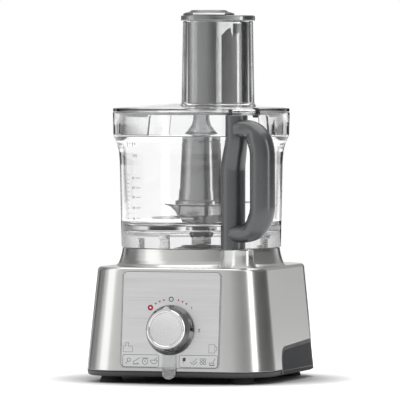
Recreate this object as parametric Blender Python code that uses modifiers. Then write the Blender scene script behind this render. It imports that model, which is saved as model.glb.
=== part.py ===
"""Compact food processor with a clear bowl, built as an assembly of separate pieces.

Every size in this file is in millimetres, and the helpers build in metres.
X points right as seen from the front, Y to the back and Z up.
The origin is on the spindle axis, at the level that the feet stand on.
Directions round the axis are angles from the front, growing towards the right.
"""

import math

import bmesh
import bpy
from mathutils import Matrix, Vector

MM = 0.001
GAP = 0.3  # clearance between pieces that touch or run together

# Base: half width, depth to the front and to the rear, and front and rear corner radius.
FOOT_HEIGHT = 7.5
HOUSING_BOTTOM = 13.8
DECK = 125.5
PLAN_BOTTOM = (107.0, 118.5, 130.0, 48.0, 61.0)
PLAN_DECK = (95.5, 107.5, 119.0, 42.0, 49.0)
HOUSING_WALL = 2.5
COLLAR_TOP = 145.2
COLLAR_RADIUS = 86.5
BOSS_TOP = 152.0
FRONT_TILT = math.atan2(PLAN_BOTTOM[1] - PLAN_DECK[1], DECK - HOUSING_BOTTOM)
FOOT_X, FOOT_Y = 74.5, 91.0
SCREW_PLACES = ((-88.0, -70.0), (88.0, -70.0), (-84.0, 60.0), (84.0, 60.0))
VENTS, VENT_START, VENT_PITCH = 7, -14.0, 8.0
GLAND_X, GLAND_Z = -31.0, 26.0
LUG_ANGLE = -13.0
LUG_HALF_WIDTH = 5.5
LUG_REACH = (76.5, 80.0, 83.0)
REAR_SKIRT_INSET = 1.2
# Side outline of the dark rear skirt: depth and height of its corners.
REAR_SKIRT_EDGE = ((-50.0, 4.0), (-47.0, 27.0), (-42.0, 35.0), (-34.0, 38.5), (145.0, 46.0), (145.0, 4.0))

# Control panel and dial, on the sloping front.
PANEL_HALF_WIDTH = 55.8
PANEL_Z = (17.0, 122.0)
PANEL_CORNER = 6.0
PANEL_THICKNESS = 1.2
LENS_HALF_WIDTH = 7.6
LENS_TOP = 17.8
DIAL_Z = 58.5
DIAL_RADIUS = 27.2
DIAL_HEIGHT = 18.3
DIAL_FACE_RADIUS = 17.8

# Drive train.
MOTOR_Y = 68.0
STACK_Z = (48.0, 84.0)
STACK_HALF = 36.0
ARMATURE_RADIUS = 22.0
BELT_Z = (24.5, 32.5)
DRIVEN_PULLEY_RADIUS = 33.0
MOTOR_PULLEY_RADIUS = 8.25
BELT_THICKNESS = 1.8
RIM = 1.8  # how far each pulley's rims stand out of its groove
FAN_BLADES = 6
BOLT_X = 33.0
MOTOR_SHAFT_RADIUS = 4.0
BUSH_RADIUS = 8.0
SPINDLE_RADIUS = 6.0

# Bowl.
BOWL_BOTTOM = 145.5
BOWL_FLOOR = 169.7
BOWL_LEDGE = 267.2
BOWL_RIM = 293.5
BOWL_RADIUS = 87.8
COLLAR_OUTER = 97.5
COLLAR_INNER = 94.3
TUBE_TOP = 243.0
SHAFT_TOP = 260.0

# Knife.
BLADE_UPPER_Z, BLADE_LOWER_Z = 193.2, 178.0
BLADE_THICKNESS = 1.6

# Handle: the spine stands against the bowl, and the grip stands off it to the right.
SPINE_ANGLE = 38.5
SPINE_RADIUS = 13.4
SPINE_SHARE_AT_TOP = 0.9  # of the radius
SPINE_LOW = 94.0
SPINE_HIGH = 104.0
SPINE_TOP = 289.5
GRIP_PLACE = (98.4, -96.2)
GRIP_RADIUS = 13.6
GRIP_ARMS_Z = (162.5, 276.3)
GRIP_BEND = 30.0

# Interlock: the lid's tab holds the rod down, and the rod holds the plunger down.
ROD_DISTANCE = 102.0
ROD_RADIUS = 2.5
ROD_Z = (141.5, 290.0)
PLUNGER_RADIUS = 2.2
PLUNGER_Z = (105.0, 141.0)
SPRING_Z = (105.6, 113.0)
SPRING_RADIUS = 3.9
SPRING_WIRE = 0.5
SPRING_TURNS, SPRING_POINTS = 4, 10

# Lid, feed tube and pushers.
LID_RADIUS = 97.2
LID_Z = (294.0, 297.8)
LID_CROWN = 303.8
SKIRT_RADIUS = (88.0, 90.5)
SKIRT_BOTTOM = 268.5
WINDOW_FRONT = (-22.0, 70.0)
WINDOW_REAR = (150.0, 220.0)
TAB_ANGLES = (34.6, 52.0)
FEED_ANGLE = 41.0
FEED_DISTANCE = 45.0
FEED_HALF_LENGTH = 13.0
FEED_RADIUS = (28.0, 26.5)
FEED_WALL = 2.5
FEED_TOP = 392.9
PUSHER_RADIUS = 22.0
PUSHER_BOTTOM = 304.0
FLANGE_Z = (393.3, 399.3)
FLANGE_RADIUS = 28.6
PUSHER_WALL = 2.4
# Corners of the large pusher's front face: along the feed tube's width, and out.
PUSHER_FACETS = ((4.5, 21.5), (4.1, 22.0), (-6.0, 20.4), (-6.0, 22.0))
# The recess under the flange, as distances along the feed tube's width and heights.
PUSHER_RECESS = ((-8.0, 376.2), (3.4, 385.3), (5.3, 376.1), (13.8, 380.6), (17.6, 392.6), (-8.0, 392.6))
SMALL_PUSHER_RADIUS = 14.8
SMALL_PUSHER_ALONG = -17.5
CAP_RADIUS = 28.0
CAP_ALONG = -11.0
TOP = 405.0

ROUND = 24  # sides of a middle-sized round piece
WIDE = 40  # sides of a piece as wide as the bowl


# ---------------------------------------------------------------- helpers


def clear_scene():
    for thing in list(bpy.data.objects):
        bpy.data.objects.remove(thing)


def collection(name):
    made = bpy.data.collections.new(name)
    bpy.context.scene.collection.children.link(made)
    return made


def material(name, colour, roughness, metallic=0.0, transmission=0.0):
    made = bpy.data.materials.new(name)
    made.use_nodes = True
    shader = made.node_tree.nodes["Principled BSDF"]
    shader.inputs["Base Color"].default_value = (*colour, 1.0)
    shader.inputs["Roughness"].default_value = roughness
    shader.inputs["Metallic"].default_value = metallic
    shader.inputs["Transmission Weight"].default_value = transmission
    return made


def place(angle, distance):
    """The plan point this far from the axis, in this direction from the front."""
    turn = math.radians(angle)
    return Vector((distance * math.sin(turn), -distance * math.cos(turn)))


def put(name, mesh, paint, matrix=None):
    """A named node made of this mesh, which is in metres."""
    node = bpy.data.objects.new(name, mesh)
    node.matrix_world = matrix or Matrix.Identity(4)
    mesh.materials.clear()
    mesh.materials.append(paint)
    if mesh.polygons:
        mesh.shade_smooth()
        mesh.set_sharp_from_angle(angle=math.radians(35))
    PARTS.objects.link(node)
    return node


def turned(name, profile, paint, centre=(0.0, 0.0), steps=ROUND, matrix=None):
    """A turned piece. The profile lists radius and height, down its outer side first."""
    mesh = bpy.data.meshes.new(name)
    points = [(r * MM, 0.0, z * MM) for r, z in profile]
    closed = profile[0][0] > 0.0
    edges = [(i, i + 1) for i in range(len(points) - 1)]
    if closed:
        edges.append((len(points) - 1, 0))
    mesh.from_pydata(points, edges, [])
    where = matrix or Matrix.Translation(Vector((*centre, 0.0)) * MM)
    node = put(name, mesh, paint, where)
    screw = node.modifiers.new("turn", "SCREW")
    screw.axis = "Z"
    screw.angle = 2 * math.pi
    screw.steps = steps
    screw.render_steps = steps
    screw.use_merge_vertices = True
    screw.merge_threshold = 0.00001
    return node


def prism(name, outlines, low, high, paint, matrix=None):
    """A flat outline, or an outline with holes, drawn from one height to another."""
    curve = bpy.data.curves.new(name, "CURVE")
    curve.dimensions = "2D"
    curve.fill_mode = "BOTH"
    curve.extrude = (high - low) / 2 * MM
    for outline in outlines:
        spline = curve.splines.new("POLY")
        spline.points.add(len(outline) - 1)
        for point, (x, y) in zip(spline.points, outline):
            point.co = (x * MM, y * MM, 0.0, 1.0)
        spline.use_cyclic_u = True
    lift = Matrix.Translation((0.0, 0.0, (low + high) / 2 * MM))
    return as_mesh(name, curve, paint, (matrix or Matrix.Identity(4)) @ lift)


def rod(name, path, radius, paint, sides=3, radii=None):
    """A round bar along a path of points, with closed ends."""
    curve = bpy.data.curves.new(name, "CURVE")
    curve.dimensions = "3D"
    curve.bevel_depth = radius * MM
    curve.bevel_resolution = sides
    curve.use_fill_caps = True
    spline = curve.splines.new("POLY")
    spline.points.add(len(path) - 1)
    for i, (point, at) in enumerate(zip(spline.points, path)):
        point.co = (*(Vector(at) * MM), 1.0)
        point.radius = radii[i] if radii else 1.0
    return as_mesh(name, curve, paint, Matrix.Identity(4))


def as_mesh(name, curve, paint, matrix):
    """Turns a curve into a mesh node whose caps are welded to its sides."""
    helper = bpy.data.objects.new(name + "_curve", curve)
    bpy.context.scene.collection.objects.link(helper)
    graph = bpy.context.evaluated_depsgraph_get()
    mesh = bpy.data.meshes.new_from_object(helper.evaluated_get(graph))
    bpy.data.objects.remove(helper)
    shape = bmesh.new()
    shape.from_mesh(mesh)
    bmesh.ops.remove_doubles(shape, verts=shape.verts, dist=0.00001)
    bmesh.ops.recalc_face_normals(shape, faces=shape.faces)
    shape.to_mesh(mesh)
    shape.free()
    return put(name, mesh, paint, matrix)


def lofted(name, sections, paint):
    """A solid through unlike outlines, each a list of plan points and a height."""
    shape = bmesh.new()
    rings = []
    for outline, height in sections:
        rings.append([shape.verts.new((x * MM, y * MM, height * MM)) for x, y in outline])
    count = len(rings[0])
    for below, above in zip(rings, rings[1:]):
        for i in range(count):
            j = (i + 1) % count
            shape.faces.new((below[i], below[j], above[j], above[i]))
    shape.faces.new(list(reversed(rings[0])))
    shape.faces.new(rings[-1])
    bmesh.ops.recalc_face_normals(shape, faces=shape.faces)
    mesh = bpy.data.meshes.new(name)
    shape.to_mesh(mesh)
    shape.free()
    return put(name, mesh, paint)


def box(name, low, high, paint, bevel=0.0, matrix=None):
    """A box between two corners, with its edges rounded if asked."""
    size = Vector(high) - Vector(low)
    centre = (Vector(high) + Vector(low)) / 2
    shape = bmesh.new()
    bmesh.ops.create_cube(shape, size=1.0)
    bmesh.ops.scale(shape, vec=size * MM, verts=shape.verts)
    bmesh.ops.translate(shape, vec=centre * MM, verts=shape.verts)
    mesh = bpy.data.meshes.new(name)
    shape.to_mesh(mesh)
    shape.free()
    node = put(name, mesh, paint, matrix)
    if bevel:
        edge = node.modifiers.new("edges", "BEVEL")
        edge.width = bevel * MM
        edge.segments = 2
    return node


def bore(name, radius, low, high, centre, steps=16):
    """A round cutter standing at this plan point."""
    return turned(name, [(0, high), (radius, high), (radius, low), (0, low)], DARK, centre, steps)


def bore_along(name, radius, low, high, frame):
    """A round cutter along the z axis of a frame."""
    return turned(name, [(0, high), (radius, high), (radius, low), (0, low)], DARK, steps=20, matrix=frame)


def helper_of(node):
    """Takes a shape out of the render, because it only cuts or joins another."""
    PARTS.objects.unlink(node)
    CUTTERS.objects.link(node)
    node.hide_render = True
    node.display_type = "WIRE"


def combine(node, other, operation):
    change = node.modifiers.new(other.name, "BOOLEAN")
    change.operation = operation
    change.solver = "EXACT"
    change.object = other
    helper_of(other)


def cut(node, *others):
    for other in others:
        combine(node, other, "DIFFERENCE")


def join(node, *others):
    for other in others:
        combine(node, other, "UNION")


def keep_inside(node, other):
    combine(node, other, "INTERSECT")


def arc(cx, cy, radius, start, end, count):
    """Points along an arc, both ends included, with angles in degrees."""
    found = []
    for i in range(count + 1):
        turn = math.radians(start + (end - start) * i / count)
        found.append((cx + radius * math.cos(turn), cy + radius * math.sin(turn)))
    return found


def rounded_rectangle(half_x, half_y, radius, corner=8, centre=(0.0, 0.0)):
    points = []
    for quarter, (sx, sy) in enumerate(((1, 1), (-1, 1), (-1, -1), (1, -1))):
        cx = centre[0] + sx * (half_x - radius)
        cy = centre[1] + sy * (half_y - radius)
        points += arc(cx, cy, radius, quarter * 90, quarter * 90 + 90, corner)
    return points


def circle(cx, cy, radius, count=24):
    return arc(cx, cy, radius, 0, 360, count)[:-1]


def stadium(first, second, radius, half=12):
    """The outline round two equal circles."""
    first, second = Vector(first), Vector(second)
    along = math.degrees(math.atan2(second.y - first.y, second.x - first.x))
    points = arc(second.x, second.y, radius, along - 90, along + 90, half)
    return points + arc(first.x, first.y, radius, along + 90, along + 270, half)


def belt_line(near, near_radius, far, far_radius, half=14):
    """The outline that a belt takes round two unequal pulleys, one behind the other."""
    reach = far - near
    wrap = math.degrees(math.acos((near_radius - far_radius) / reach))
    points = arc(0.0, far, far_radius, 90 - wrap, 90 + wrap, half)
    return points + arc(0.0, near, near_radius, 90 + wrap, 450 - wrap, 2 * half)


def plan_sizes(height):
    """Half width, front depth, rear depth and the corner radii of the base at a height."""
    share = (height - HOUSING_BOTTOM) / (DECK - HOUSING_BOTTOM)
    return [low + (high - low) * share for low, high in zip(PLAN_BOTTOM, PLAN_DECK)]


def base_plan(height, inset=0.0, corner=7):
    """The outline of the tapering base at a height."""
    half, front, rear, front_radius, rear_radius = (size - inset for size in plan_sizes(height))
    corners = (
        (1, rear, rear_radius, 1),
        (-1, rear, rear_radius, 1),
        (-1, front, front_radius, -1),
        (1, front, front_radius, -1),
    )
    points = []
    for quarter, (side, depth, radius, end) in enumerate(corners):
        centre = (side * (half - radius), end * (depth - radius))
        points += arc(*centre, radius, quarter * 90, quarter * 90 + 90, corner)
    return points


def front_frame(height):
    """A frame on the sloping front: x right, y up the face, z straight out of it."""
    depth = plan_sizes(height)[1]
    lean, rise = math.sin(FRONT_TILT), math.cos(FRONT_TILT)
    frame = Matrix(((1, 0, 0, 0), (0, lean, -rise, 0), (0, rise, lean, 0), (0, 0, 0, 1)))
    frame.translation = Vector((0.0, -depth, height)) * MM
    return frame


def rod_place():
    """Where the interlock rod stands, inside the handle's spine."""
    return place(SPINE_ANGLE, ROD_DISTANCE)


def feed_line(half_length=FEED_HALF_LENGTH):
    """The ends of the feed tube's middle line, left end first as seen from outside."""
    middle = place(FEED_ANGLE, FEED_DISTANCE)
    turn = math.radians(FEED_ANGLE)
    along = Vector((math.cos(turn), math.sin(turn)))
    return middle - along * half_length, middle + along * half_length


# ---------------------------------------------------------------- base


def rear_skirt_block(name, grow):
    """A block across the whole width, with the side outline of the rear skirt."""
    lean = Matrix(((0, 0, 1, 0), (1, 0, 0, 0), (0, 1, 0, 0), (0, 0, 0, 1)))
    outline = [(y - grow, z + grow if z > 10 else z) for y, z in REAR_SKIRT_EDGE]
    return prism(name, [outline], -130, 130, DARK, lean)


def base_housing():
    housing = lofted(
        "base_housing",
        [
            (base_plan(HOUSING_BOTTOM), HOUSING_BOTTOM),
            (base_plan(DECK - 4), DECK - 4),
            (base_plan(DECK - 1.2, 0.7), DECK - 1.2),
            (base_plan(DECK, 2.4), DECK),
        ],
        SILVER,
    )
    drum = turned(
        "housing_drum",
        [
            (0.0, COLLAR_TOP),
            (COLLAR_RADIUS - 1.0, COLLAR_TOP),
            (COLLAR_RADIUS, COLLAR_TOP - 1.0),
            (87.6, 139.5),
            (89.0, 133.5),
            (90.4, 129.5),
            (92.0, 127.0),
            (93.0, 126.0),
            (93.0, 124.0),
            (0.0, 124.0),
        ],
        SILVER,
        steps=WIDE,
    )
    boss = turned(
        "housing_boss",
        [(0, BOSS_TOP), (22, BOSS_TOP), (24, BOSS_TOP - 1.5), (30, 146.5), (33, 144), (0, 144)],
        SILVER,
    )
    join(housing, drum, boss, interlock_fairing(), *bowl_lugs())
    inside = lofted(
        "housing_inside",
        [
            (base_plan(HOUSING_BOTTOM - 2, HOUSING_WALL), HOUSING_BOTTOM - 2),
            (base_plan(DECK - 3, HOUSING_WALL), DECK - 3),
        ],
        SILVER,
    )
    drum_inside = turned(
        "housing_drum_inside",
        [(0, COLLAR_TOP - 2.7), (83.5, COLLAR_TOP - 2.7), (83.5, 120), (0, 120)],
        SILVER,
        steps=WIDE,
    )
    boss_inside = turned(
        "housing_boss_inside",
        [(0, 149.0), (19.5, 149.0), (26, 140), (0, 140)],
        SILVER,
    )
    spindle_hole = bore("spindle_hole", 12.5, 140, 160, (0.0, 0.0))
    plunger_hole = bore("plunger_hole", ROD_RADIUS + 0.5, 110, 150, rod_place())
    dial = front_frame(DIAL_Z)
    shaft_hole = bore_along("dial_hole", 4.2, -12, 5, dial)
    cut(housing, drum_inside, inside, boss_inside, spindle_hole, plunger_hole, shaft_hole)
    cut(housing, panel_outline("panel_recess", 0.3, -PANEL_THICKNESS, 6.0))
    cut(housing, rear_skirt_block("housing_rear_cut", 0.0))
    foot = front_frame(HOUSING_BOTTOM)
    cut(housing, box("lens_notch", (-8.3, -8, -7), (8.3, 9, 4), SILVER, matrix=foot))
    return housing


def bowl_lugs():
    """The four lugs on the deck that the bowl's foot twists under."""
    lugs = []
    for i in range(4):
        turn = Matrix.Rotation(math.radians(LUG_ANGLE + 90 * i), 4, "Z")
        near, far, lip = LUG_REACH
        half = LUG_HALF_WIDTH
        lugs.append(box(f"lug_{i}", (-half, -far, 144.0), (half, -near, 161.0), SILVER, matrix=turn))
        half -= 0.7
        lugs.append(box(f"lug_lip_{i}", (-half, -lip, 156.0), (half, 1 - far, 160.4), SILVER, matrix=turn))
    return lugs


def interlock_fairing():
    """The flared post on the deck that carries the handle's foot."""
    spine = place(SPINE_ANGLE, SPINE_LOW)
    towards = (Vector(GRIP_PLACE) - spine).normalized()
    first, second = spine + towards * 2.5, spine + towards * 13.0
    flare = ((123.5, 5.0), (127.0, 3.6), (131.0, 1.6), (136.0, 0.5), (COLLAR_TOP, 0.0))
    sections = [(stadium(first, second, SPINE_RADIUS + more), z) for z, more in flare]
    return lofted("interlock_fairing", sections, SILVER)


def panel_outline(name, grow, low, high):
    """The control panel's outline on the sloping front, from one depth to another."""
    middle = sum(PANEL_Z) / 2
    half = (PANEL_Z[1] - PANEL_Z[0]) / 2 / math.cos(FRONT_TILT)
    outline = rounded_rectangle(PANEL_HALF_WIDTH + grow, half + grow, PANEL_CORNER + grow, 5)
    return prism(name, [outline], low, high, BRUSHED, front_frame(middle))


def control_panel():
    panel = panel_outline("control_panel", 0.0, -PANEL_THICKNESS + 0.3, 0.3)
    cut(panel, bore_along("panel_hole", 4.2, -5, 5, front_frame(DIAL_Z)))
    return panel


def status_lens():
    """A clear tongue over the foot of the panel, with a rounded lower end and a root behind."""
    half, frame = LENS_HALF_WIDTH, front_frame(HOUSING_BOTTOM)
    outline = arc(0.0, -1.0, half, 180, 360, 12) + [(half, LENS_TOP), (-half, LENS_TOP)]
    lens = prism("status_lens", [outline], 0.7, 2.4, CLEAR, frame)
    join(lens, box("lens_root", (1 - half, -5.0, -2.0), (half - 1, 2.4, 1.2), CLEAR, matrix=frame))
    return lens


def base_plinth():
    low, wall = 10.5, 2.5
    plinth = lofted(
        "base_plinth",
        [
            (base_plan(HOUSING_BOTTOM, 4.5), FOOT_HEIGHT),
            (base_plan(HOUSING_BOTTOM, 1.5), FOOT_HEIGHT + 1.5),
            (base_plan(HOUSING_BOTTOM, 0.4), HOUSING_BOTTOM - GAP),
        ],
        DARK,
    )
    pocket = lofted(
        "plinth_pocket",
        [(base_plan(HOUSING_BOTTOM, 7.5), low), (base_plan(HOUSING_BOTTOM, 7.5), 20.0)],
        DARK,
    )
    skirt = lofted(
        "rear_skirt",
        [
            (base_plan(9.0, REAR_SKIRT_INSET), 9.0),
            (base_plan(50.0, REAR_SKIRT_INSET), 50.0),
        ],
        DARK,
    )
    hollow = lofted(
        "rear_skirt_inside",
        [
            (base_plan(6.0, REAR_SKIRT_INSET + wall), 6.0),
            (base_plan(55.0, REAR_SKIRT_INSET + wall), 55.0),
        ],
        DARK,
    )
    cut(skirt, hollow)
    keep_inside(skirt, rear_skirt_block("rear_skirt_block", -GAP))
    cut(plinth, pocket)
    join(plinth, skirt)
    for i in range(VENTS):
        x = VENT_START + i * VENT_PITCH
        cut(plinth, box(f"vent_{i}", (x - 1.6, 105, 18), (x + 1.6, 140, 38), DARK))
    cut(plinth, bore_along("gland_hole", 6.4, -30, 30, gland_frame()))
    lens_room = prism(
        "lens_room",
        [arc(0.0, -1.0, 8.0, 180, 360, 12) + [(8.0, 9.0), (-8.0, 9.0)]],
        -4.0,
        9.0,
        DARK,
        front_frame(HOUSING_BOTTOM),
    )
    cut(plinth, lens_room)
    for number, (x, y) in enumerate(SCREW_PLACES):
        cut(plinth, bore(f"screw_hole_{number}", 3.6, 5, 14, (x, y)))
    return plinth


def gland_frame():
    """A frame at the cord's outlet in the rear skirt, with z straight out of the back."""
    depth = plan_sizes(GLAND_Z)[2] - REAR_SKIRT_INSET
    frame = Matrix(((1, 0, 0, 0), (0, 0, 1, 0), (0, -1, 0, 0), (0, 0, 0, 1)))
    frame.translation = Vector((GLAND_X, depth, GLAND_Z)) * MM
    return frame


def cord_gland():
    """The bush that the cord leaves through, flanged outside the skirt."""
    profile = [(8.0, 3.0), (8.4, 2.4), (8.4, 1.2), (6.0, 1.2), (6.0, -6.0), (3.9, -6.0), (3.9, 3.0)]
    return turned("cord_gland", profile, RUBBER, steps=20, matrix=gland_frame())


def feet():
    profile = [(0, FOOT_HEIGHT - GAP), (10.5, FOOT_HEIGHT - GAP), (13.0, 1.2), (12.2, 0), (0, 0)]
    for side, x in (("left", -FOOT_X), ("right", FOOT_X)):
        for end, y in (("front", -FOOT_Y), ("rear", FOOT_Y)):
            turned(f"foot_{end}_{side}", profile, RUBBER, centre=(x, y), steps=20)


def base_screws():
    profile = [(0, 20), (1.6, 20), (1.6, 10.6), (3.2, 10.6), (3.2, 8.6), (0, 8.6)]
    for number, (x, y) in enumerate(SCREW_PLACES, 1):
        turned(f"base_screw_{number}", profile, STEEL, centre=(x, y), steps=12)


# ---------------------------------------------------------------- dial


def dial():
    frame = front_frame(DIAL_Z)
    floor = DIAL_HEIGHT - 3.3
    body = turned(
        "dial_body",
        [
            (0, floor),
            (DIAL_FACE_RADIUS + GAP, floor),
            (DIAL_FACE_RADIUS + GAP, DIAL_HEIGHT - 0.7),
            (19.0, DIAL_HEIGHT),
            (20.4, DIAL_HEIGHT),
            (21.6, DIAL_HEIGHT - 1.1),
            (21.7, 15.0),
            (22.4, 11.0),
            (24.0, 6.5),
            (26.5, 3.0),
            (DIAL_RADIUS, 1.7),
            (26.9, 0.6),
            (24.6, 0.6),
            (21.6, 5.0),
            (19.6, 10.0),
            (18.6, 12.6),
            (7.0, 12.6),
            (6.5, 1.0),
            (3.3, 1.0),
            (3.3, 9.3),
            (0, 9.3),
        ],
        CHROME,
        steps=28,
        matrix=frame,
    )
    outline = [(-6.0, 19.5), (6.0, 19.5), (0.9, 24.6), (-0.9, 24.6)]
    join(body, prism("dial_beak", [outline], 11.5, DIAL_HEIGHT, CHROME, frame))
    edge, seat = DIAL_FACE_RADIUS, floor + GAP
    profile = [(0, DIAL_HEIGHT - 1.7), (9.0, DIAL_HEIGHT - 1.5), (edge, DIAL_HEIGHT - 0.9)]
    profile += [(edge, seat), (0, seat)]
    turned("dial_cap", profile, SATIN, steps=28, matrix=frame)
    turned("dial_shaft", [(0, 8.9), (3.0, 8.9), (3.0, -24), (0, -24)], STEEL, steps=20, matrix=frame)
    switch = box("rotary_switch", (-17, -17, -36), (17, 17, -12), BLACK, bevel=2.0, matrix=frame)
    cut(switch, bore_along("switch_bore", 3.5, -26, 0, frame))


# ---------------------------------------------------------------- drive train


def motor():
    """The fixed half of the motor: laminations, field coils, brackets, bolts and brushes."""
    centre = (0.0, MOTOR_Y)
    outline = rounded_rectangle(STACK_HALF, STACK_HALF, 9.0, 4, centre)
    tunnel = circle(*centre, ARMATURE_RADIUS + 0.8)
    stack = prism("motor_stator", [outline, tunnel], *STACK_Z, LAMINATION)
    for sx in (-1, 1):
        for sy in (-1, 1):
            x, y = sx * 24.5, MOTOR_Y + sy * 27.5
            slot = box(f"coil_slot_{sx}_{sy}", (x - 5.2, y - 4.2, 40), (x + 5.2, y + 4.2, 92), LAMINATION)
            cut(stack, slot)
    side_on = Matrix(((1, 0, 0, 0), (0, 0, -1, 0), (0, 1, 0, 0), (0, 0, 0, 1)))
    middle = sum(STACK_Z) / 2
    for end, sy in (("front", -1), ("rear", 1)):
        y = MOTOR_Y + sy * 27.5
        outer = rounded_rectangle(29.0, 25.0, 6.0, 4, (0.0, middle))
        inner = rounded_rectangle(20.0, 18.6, 0.8, 2, (0.0, middle))
        prism(f"field_coil_{end}", [outer, inner], -y - 3.6, -y + 3.6, COPPER, side_on)
    for bolt, sx in (("left", -1), ("right", 1)):
        x, y = sx * BOLT_X, MOTOR_Y
        turned(
            f"motor_bolt_{bolt}",
            [(0, 106), (3.4, 106), (3.4, 103.4), (1.9, 103.4), (1.9, 40.6), (0, 40.6)],
            STEEL,
            centre=(x, y),
            steps=12,
        )
        cut(stack, bore(f"bolt_hole_{bolt}", 2.3, 45, 90, (x, y)))
    bracket = prism(
        "motor_top_bracket",
        [rounded_rectangle(38.0, 13.0, 6.0, 4, centre), circle(*centre, BUSH_RADIUS + GAP, 20)],
        100.0,
        103.0,
        ALUMINIUM,
    )
    for x in (-BOLT_X, BOLT_X):
        cut(bracket, bore(f"bracket_hole_{x:.0f}", 2.3, 95, 110, (x, MOTOR_Y)))
    for side, sx in (("left", -1), ("right", 1)):
        near, far = sorted((sx * 11.6, sx * 27.0))
        box(f"brush_holder_{side}", (near, MOTOR_Y - 4, 88.5), (far, MOTOR_Y + 4, 95.5), BRASS, bevel=0.6)


def drive_frame():
    """The plate under the motor that also carries the spindle's lower bearing."""
    outline = stadium((0.0, -4.0), (0.0, MOTOR_Y), 41.0, 14)
    frame = prism(
        "drive_frame",
        [outline, circle(0, 0, 14.4), circle(0, MOTOR_Y, BUSH_RADIUS + GAP, 20)],
        36.5,
        40.0,
        ALUMINIUM,
    )
    for x in (-BOLT_X, BOLT_X):
        profile = [(5.0, 47.4), (5.0, 38), (2.4, 38), (2.4, 47.4)]
        join(frame, turned(f"frame_post_{x:.0f}", profile, ALUMINIUM, (x, MOTOR_Y), 16))
    seat = turned("bearing_seat", [(17.0, 50), (17.0, 38), (13.6, 38), (13.6, 50)], ALUMINIUM)
    join(frame, seat)
    return frame


def rotor():
    centre = (0.0, MOTOR_Y)
    core = MOTOR_SHAFT_RADIUS
    turned("motor_shaft", [(0, 118), (3.0, 118), (core, 116), (core, 21), (0, 21)], STEEL, centre, 20)
    core += GAP
    profile = [(ARMATURE_RADIUS, 83), (ARMATURE_RADIUS, 49), (core, 49), (core, 83)]
    turned("armature_core", profile, LAMINATION, centre, 20)
    turned("commutator", [(11.0, 98), (11.0, 86), (core, 86), (core, 98)], COPPER, centre, 20)
    groove, rim = MOTOR_PULLEY_RADIUS, MOTOR_PULLEY_RADIUS + RIM
    profile = [(rim, 34.5), (rim, 33.2), (groove, 33.0), (groove, 24.0), (rim, 23.8), (rim, 22.5)]
    turned("motor_pulley", profile + [(core, 22.5), (core, 34.5)], STEEL, centre, 20)
    profile = [(8.0, 115.5), (8.0, 109.0), (27, 108.4), (27, 106.8), (core, 106.8), (core, 115.5)]
    fan = turned("cooling_fan", profile, BLACK, centre, 20)
    middle = Matrix.Translation(Vector((0, MOTOR_Y, 0)) * MM)
    for i in range(FAN_BLADES):
        turn = middle @ Matrix.Rotation(2 * math.pi * i / FAN_BLADES, 4, "Z")
        join(fan, box(f"fan_blade_{i}", (7.0, -0.7, 107.5), (26.6, 0.7, 114.0), BLACK, matrix=turn))


def spindle():
    """Everything that turns with the output, with the lift-off drive shaft on top of it."""
    core, seat = SPINDLE_RADIUS, SPINDLE_RADIUS + GAP
    turned("output_spindle", [(0, 158), (4.6, 158), (5.0, 157), (core, 148), (core, 22), (0, 22)], STEEL)
    groove, rim, inner = DRIVEN_PULLEY_RADIUS, DRIVEN_PULLEY_RADIUS + RIM, DRIVEN_PULLEY_RADIUS - 3.5
    web = [(groove, 33.0), (groove, 24.0), (rim, 23.8), (rim, 22.5), (inner, 22.5), (inner, 27.0)]
    web += [(11.0, 27.0), (11.0, 22.5), (seat, 22.5), (seat, 35.0), (11.0, 35.0)]
    web += [(11.0, 30.5), (inner, 30.5), (inner, 34.5), (rim, 34.5), (rim, 33.2)]
    turned("driven_pulley", web, BLACK)
    profile = [(10.4, 163), (11.2, 162), (11.2, 153), (seat, 153), (seat, 163)]
    turned("drive_coupling", profile, BLACK, steps=6)
    neck = SHAFT_TOP - 8
    profile = [(0, neck), (7.2, neck), (8.2, neck - 2), (8.8, 186), (9.6, 164), (9.6, 163.4), (0, 163.4)]
    shaft = turned("drive_shaft", profile, DARK, steps=20)
    profile = [(0, SHAFT_TOP), (4.9, SHAFT_TOP), (5.6, SHAFT_TOP - 1), (5.6, neck - 7), (0, neck - 7)]
    join(shaft, turned("shaft_tip", profile, DARK, steps=6))
    return shaft


def bearings():
    profile = [(13.3, 49), (13.3, 40.6), (SPINDLE_RADIUS + GAP, 40.6), (SPINDLE_RADIUS + GAP, 49)]
    turned("spindle_bearing_lower", profile, STEEL, steps=20)
    profile = [(12.2, 148.6), (12.2, 139.5), (SPINDLE_RADIUS + GAP, 139.5), (SPINDLE_RADIUS + GAP, 148.6)]
    turned("spindle_bearing_upper", profile, STEEL, steps=20)
    profile = [(12.0, 152.2), (12.0, 149.2), (SPINDLE_RADIUS + 0.4, 149.2), (SPINDLE_RADIUS + 0.4, 152.2)]
    turned("spindle_seal", profile, RUBBER, steps=20)


def motor_bushes():
    """The sintered bushes that carry the motor's shaft, one under it and one over it."""
    for name, low, high in (("motor_bush_lower", 36.0, 42.5), ("motor_bush_upper", 99.2, 104.6)):
        inner = MOTOR_SHAFT_RADIUS + GAP
        profile = [(BUSH_RADIUS, high), (BUSH_RADIUS, low), (inner, low), (inner, high)]
        turned(name, profile, BRASS, (0.0, MOTOR_Y), 20)


def drive_belt():
    inner = belt_line(0.0, DRIVEN_PULLEY_RADIUS + GAP, MOTOR_Y, MOTOR_PULLEY_RADIUS + GAP)
    outer = belt_line(
        0.0,
        DRIVEN_PULLEY_RADIUS + GAP + BELT_THICKNESS,
        MOTOR_Y,
        MOTOR_PULLEY_RADIUS + GAP + BELT_THICKNESS,
    )
    return prism("drive_belt", [outer, inner], *BELT_Z, RUBBER)


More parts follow.
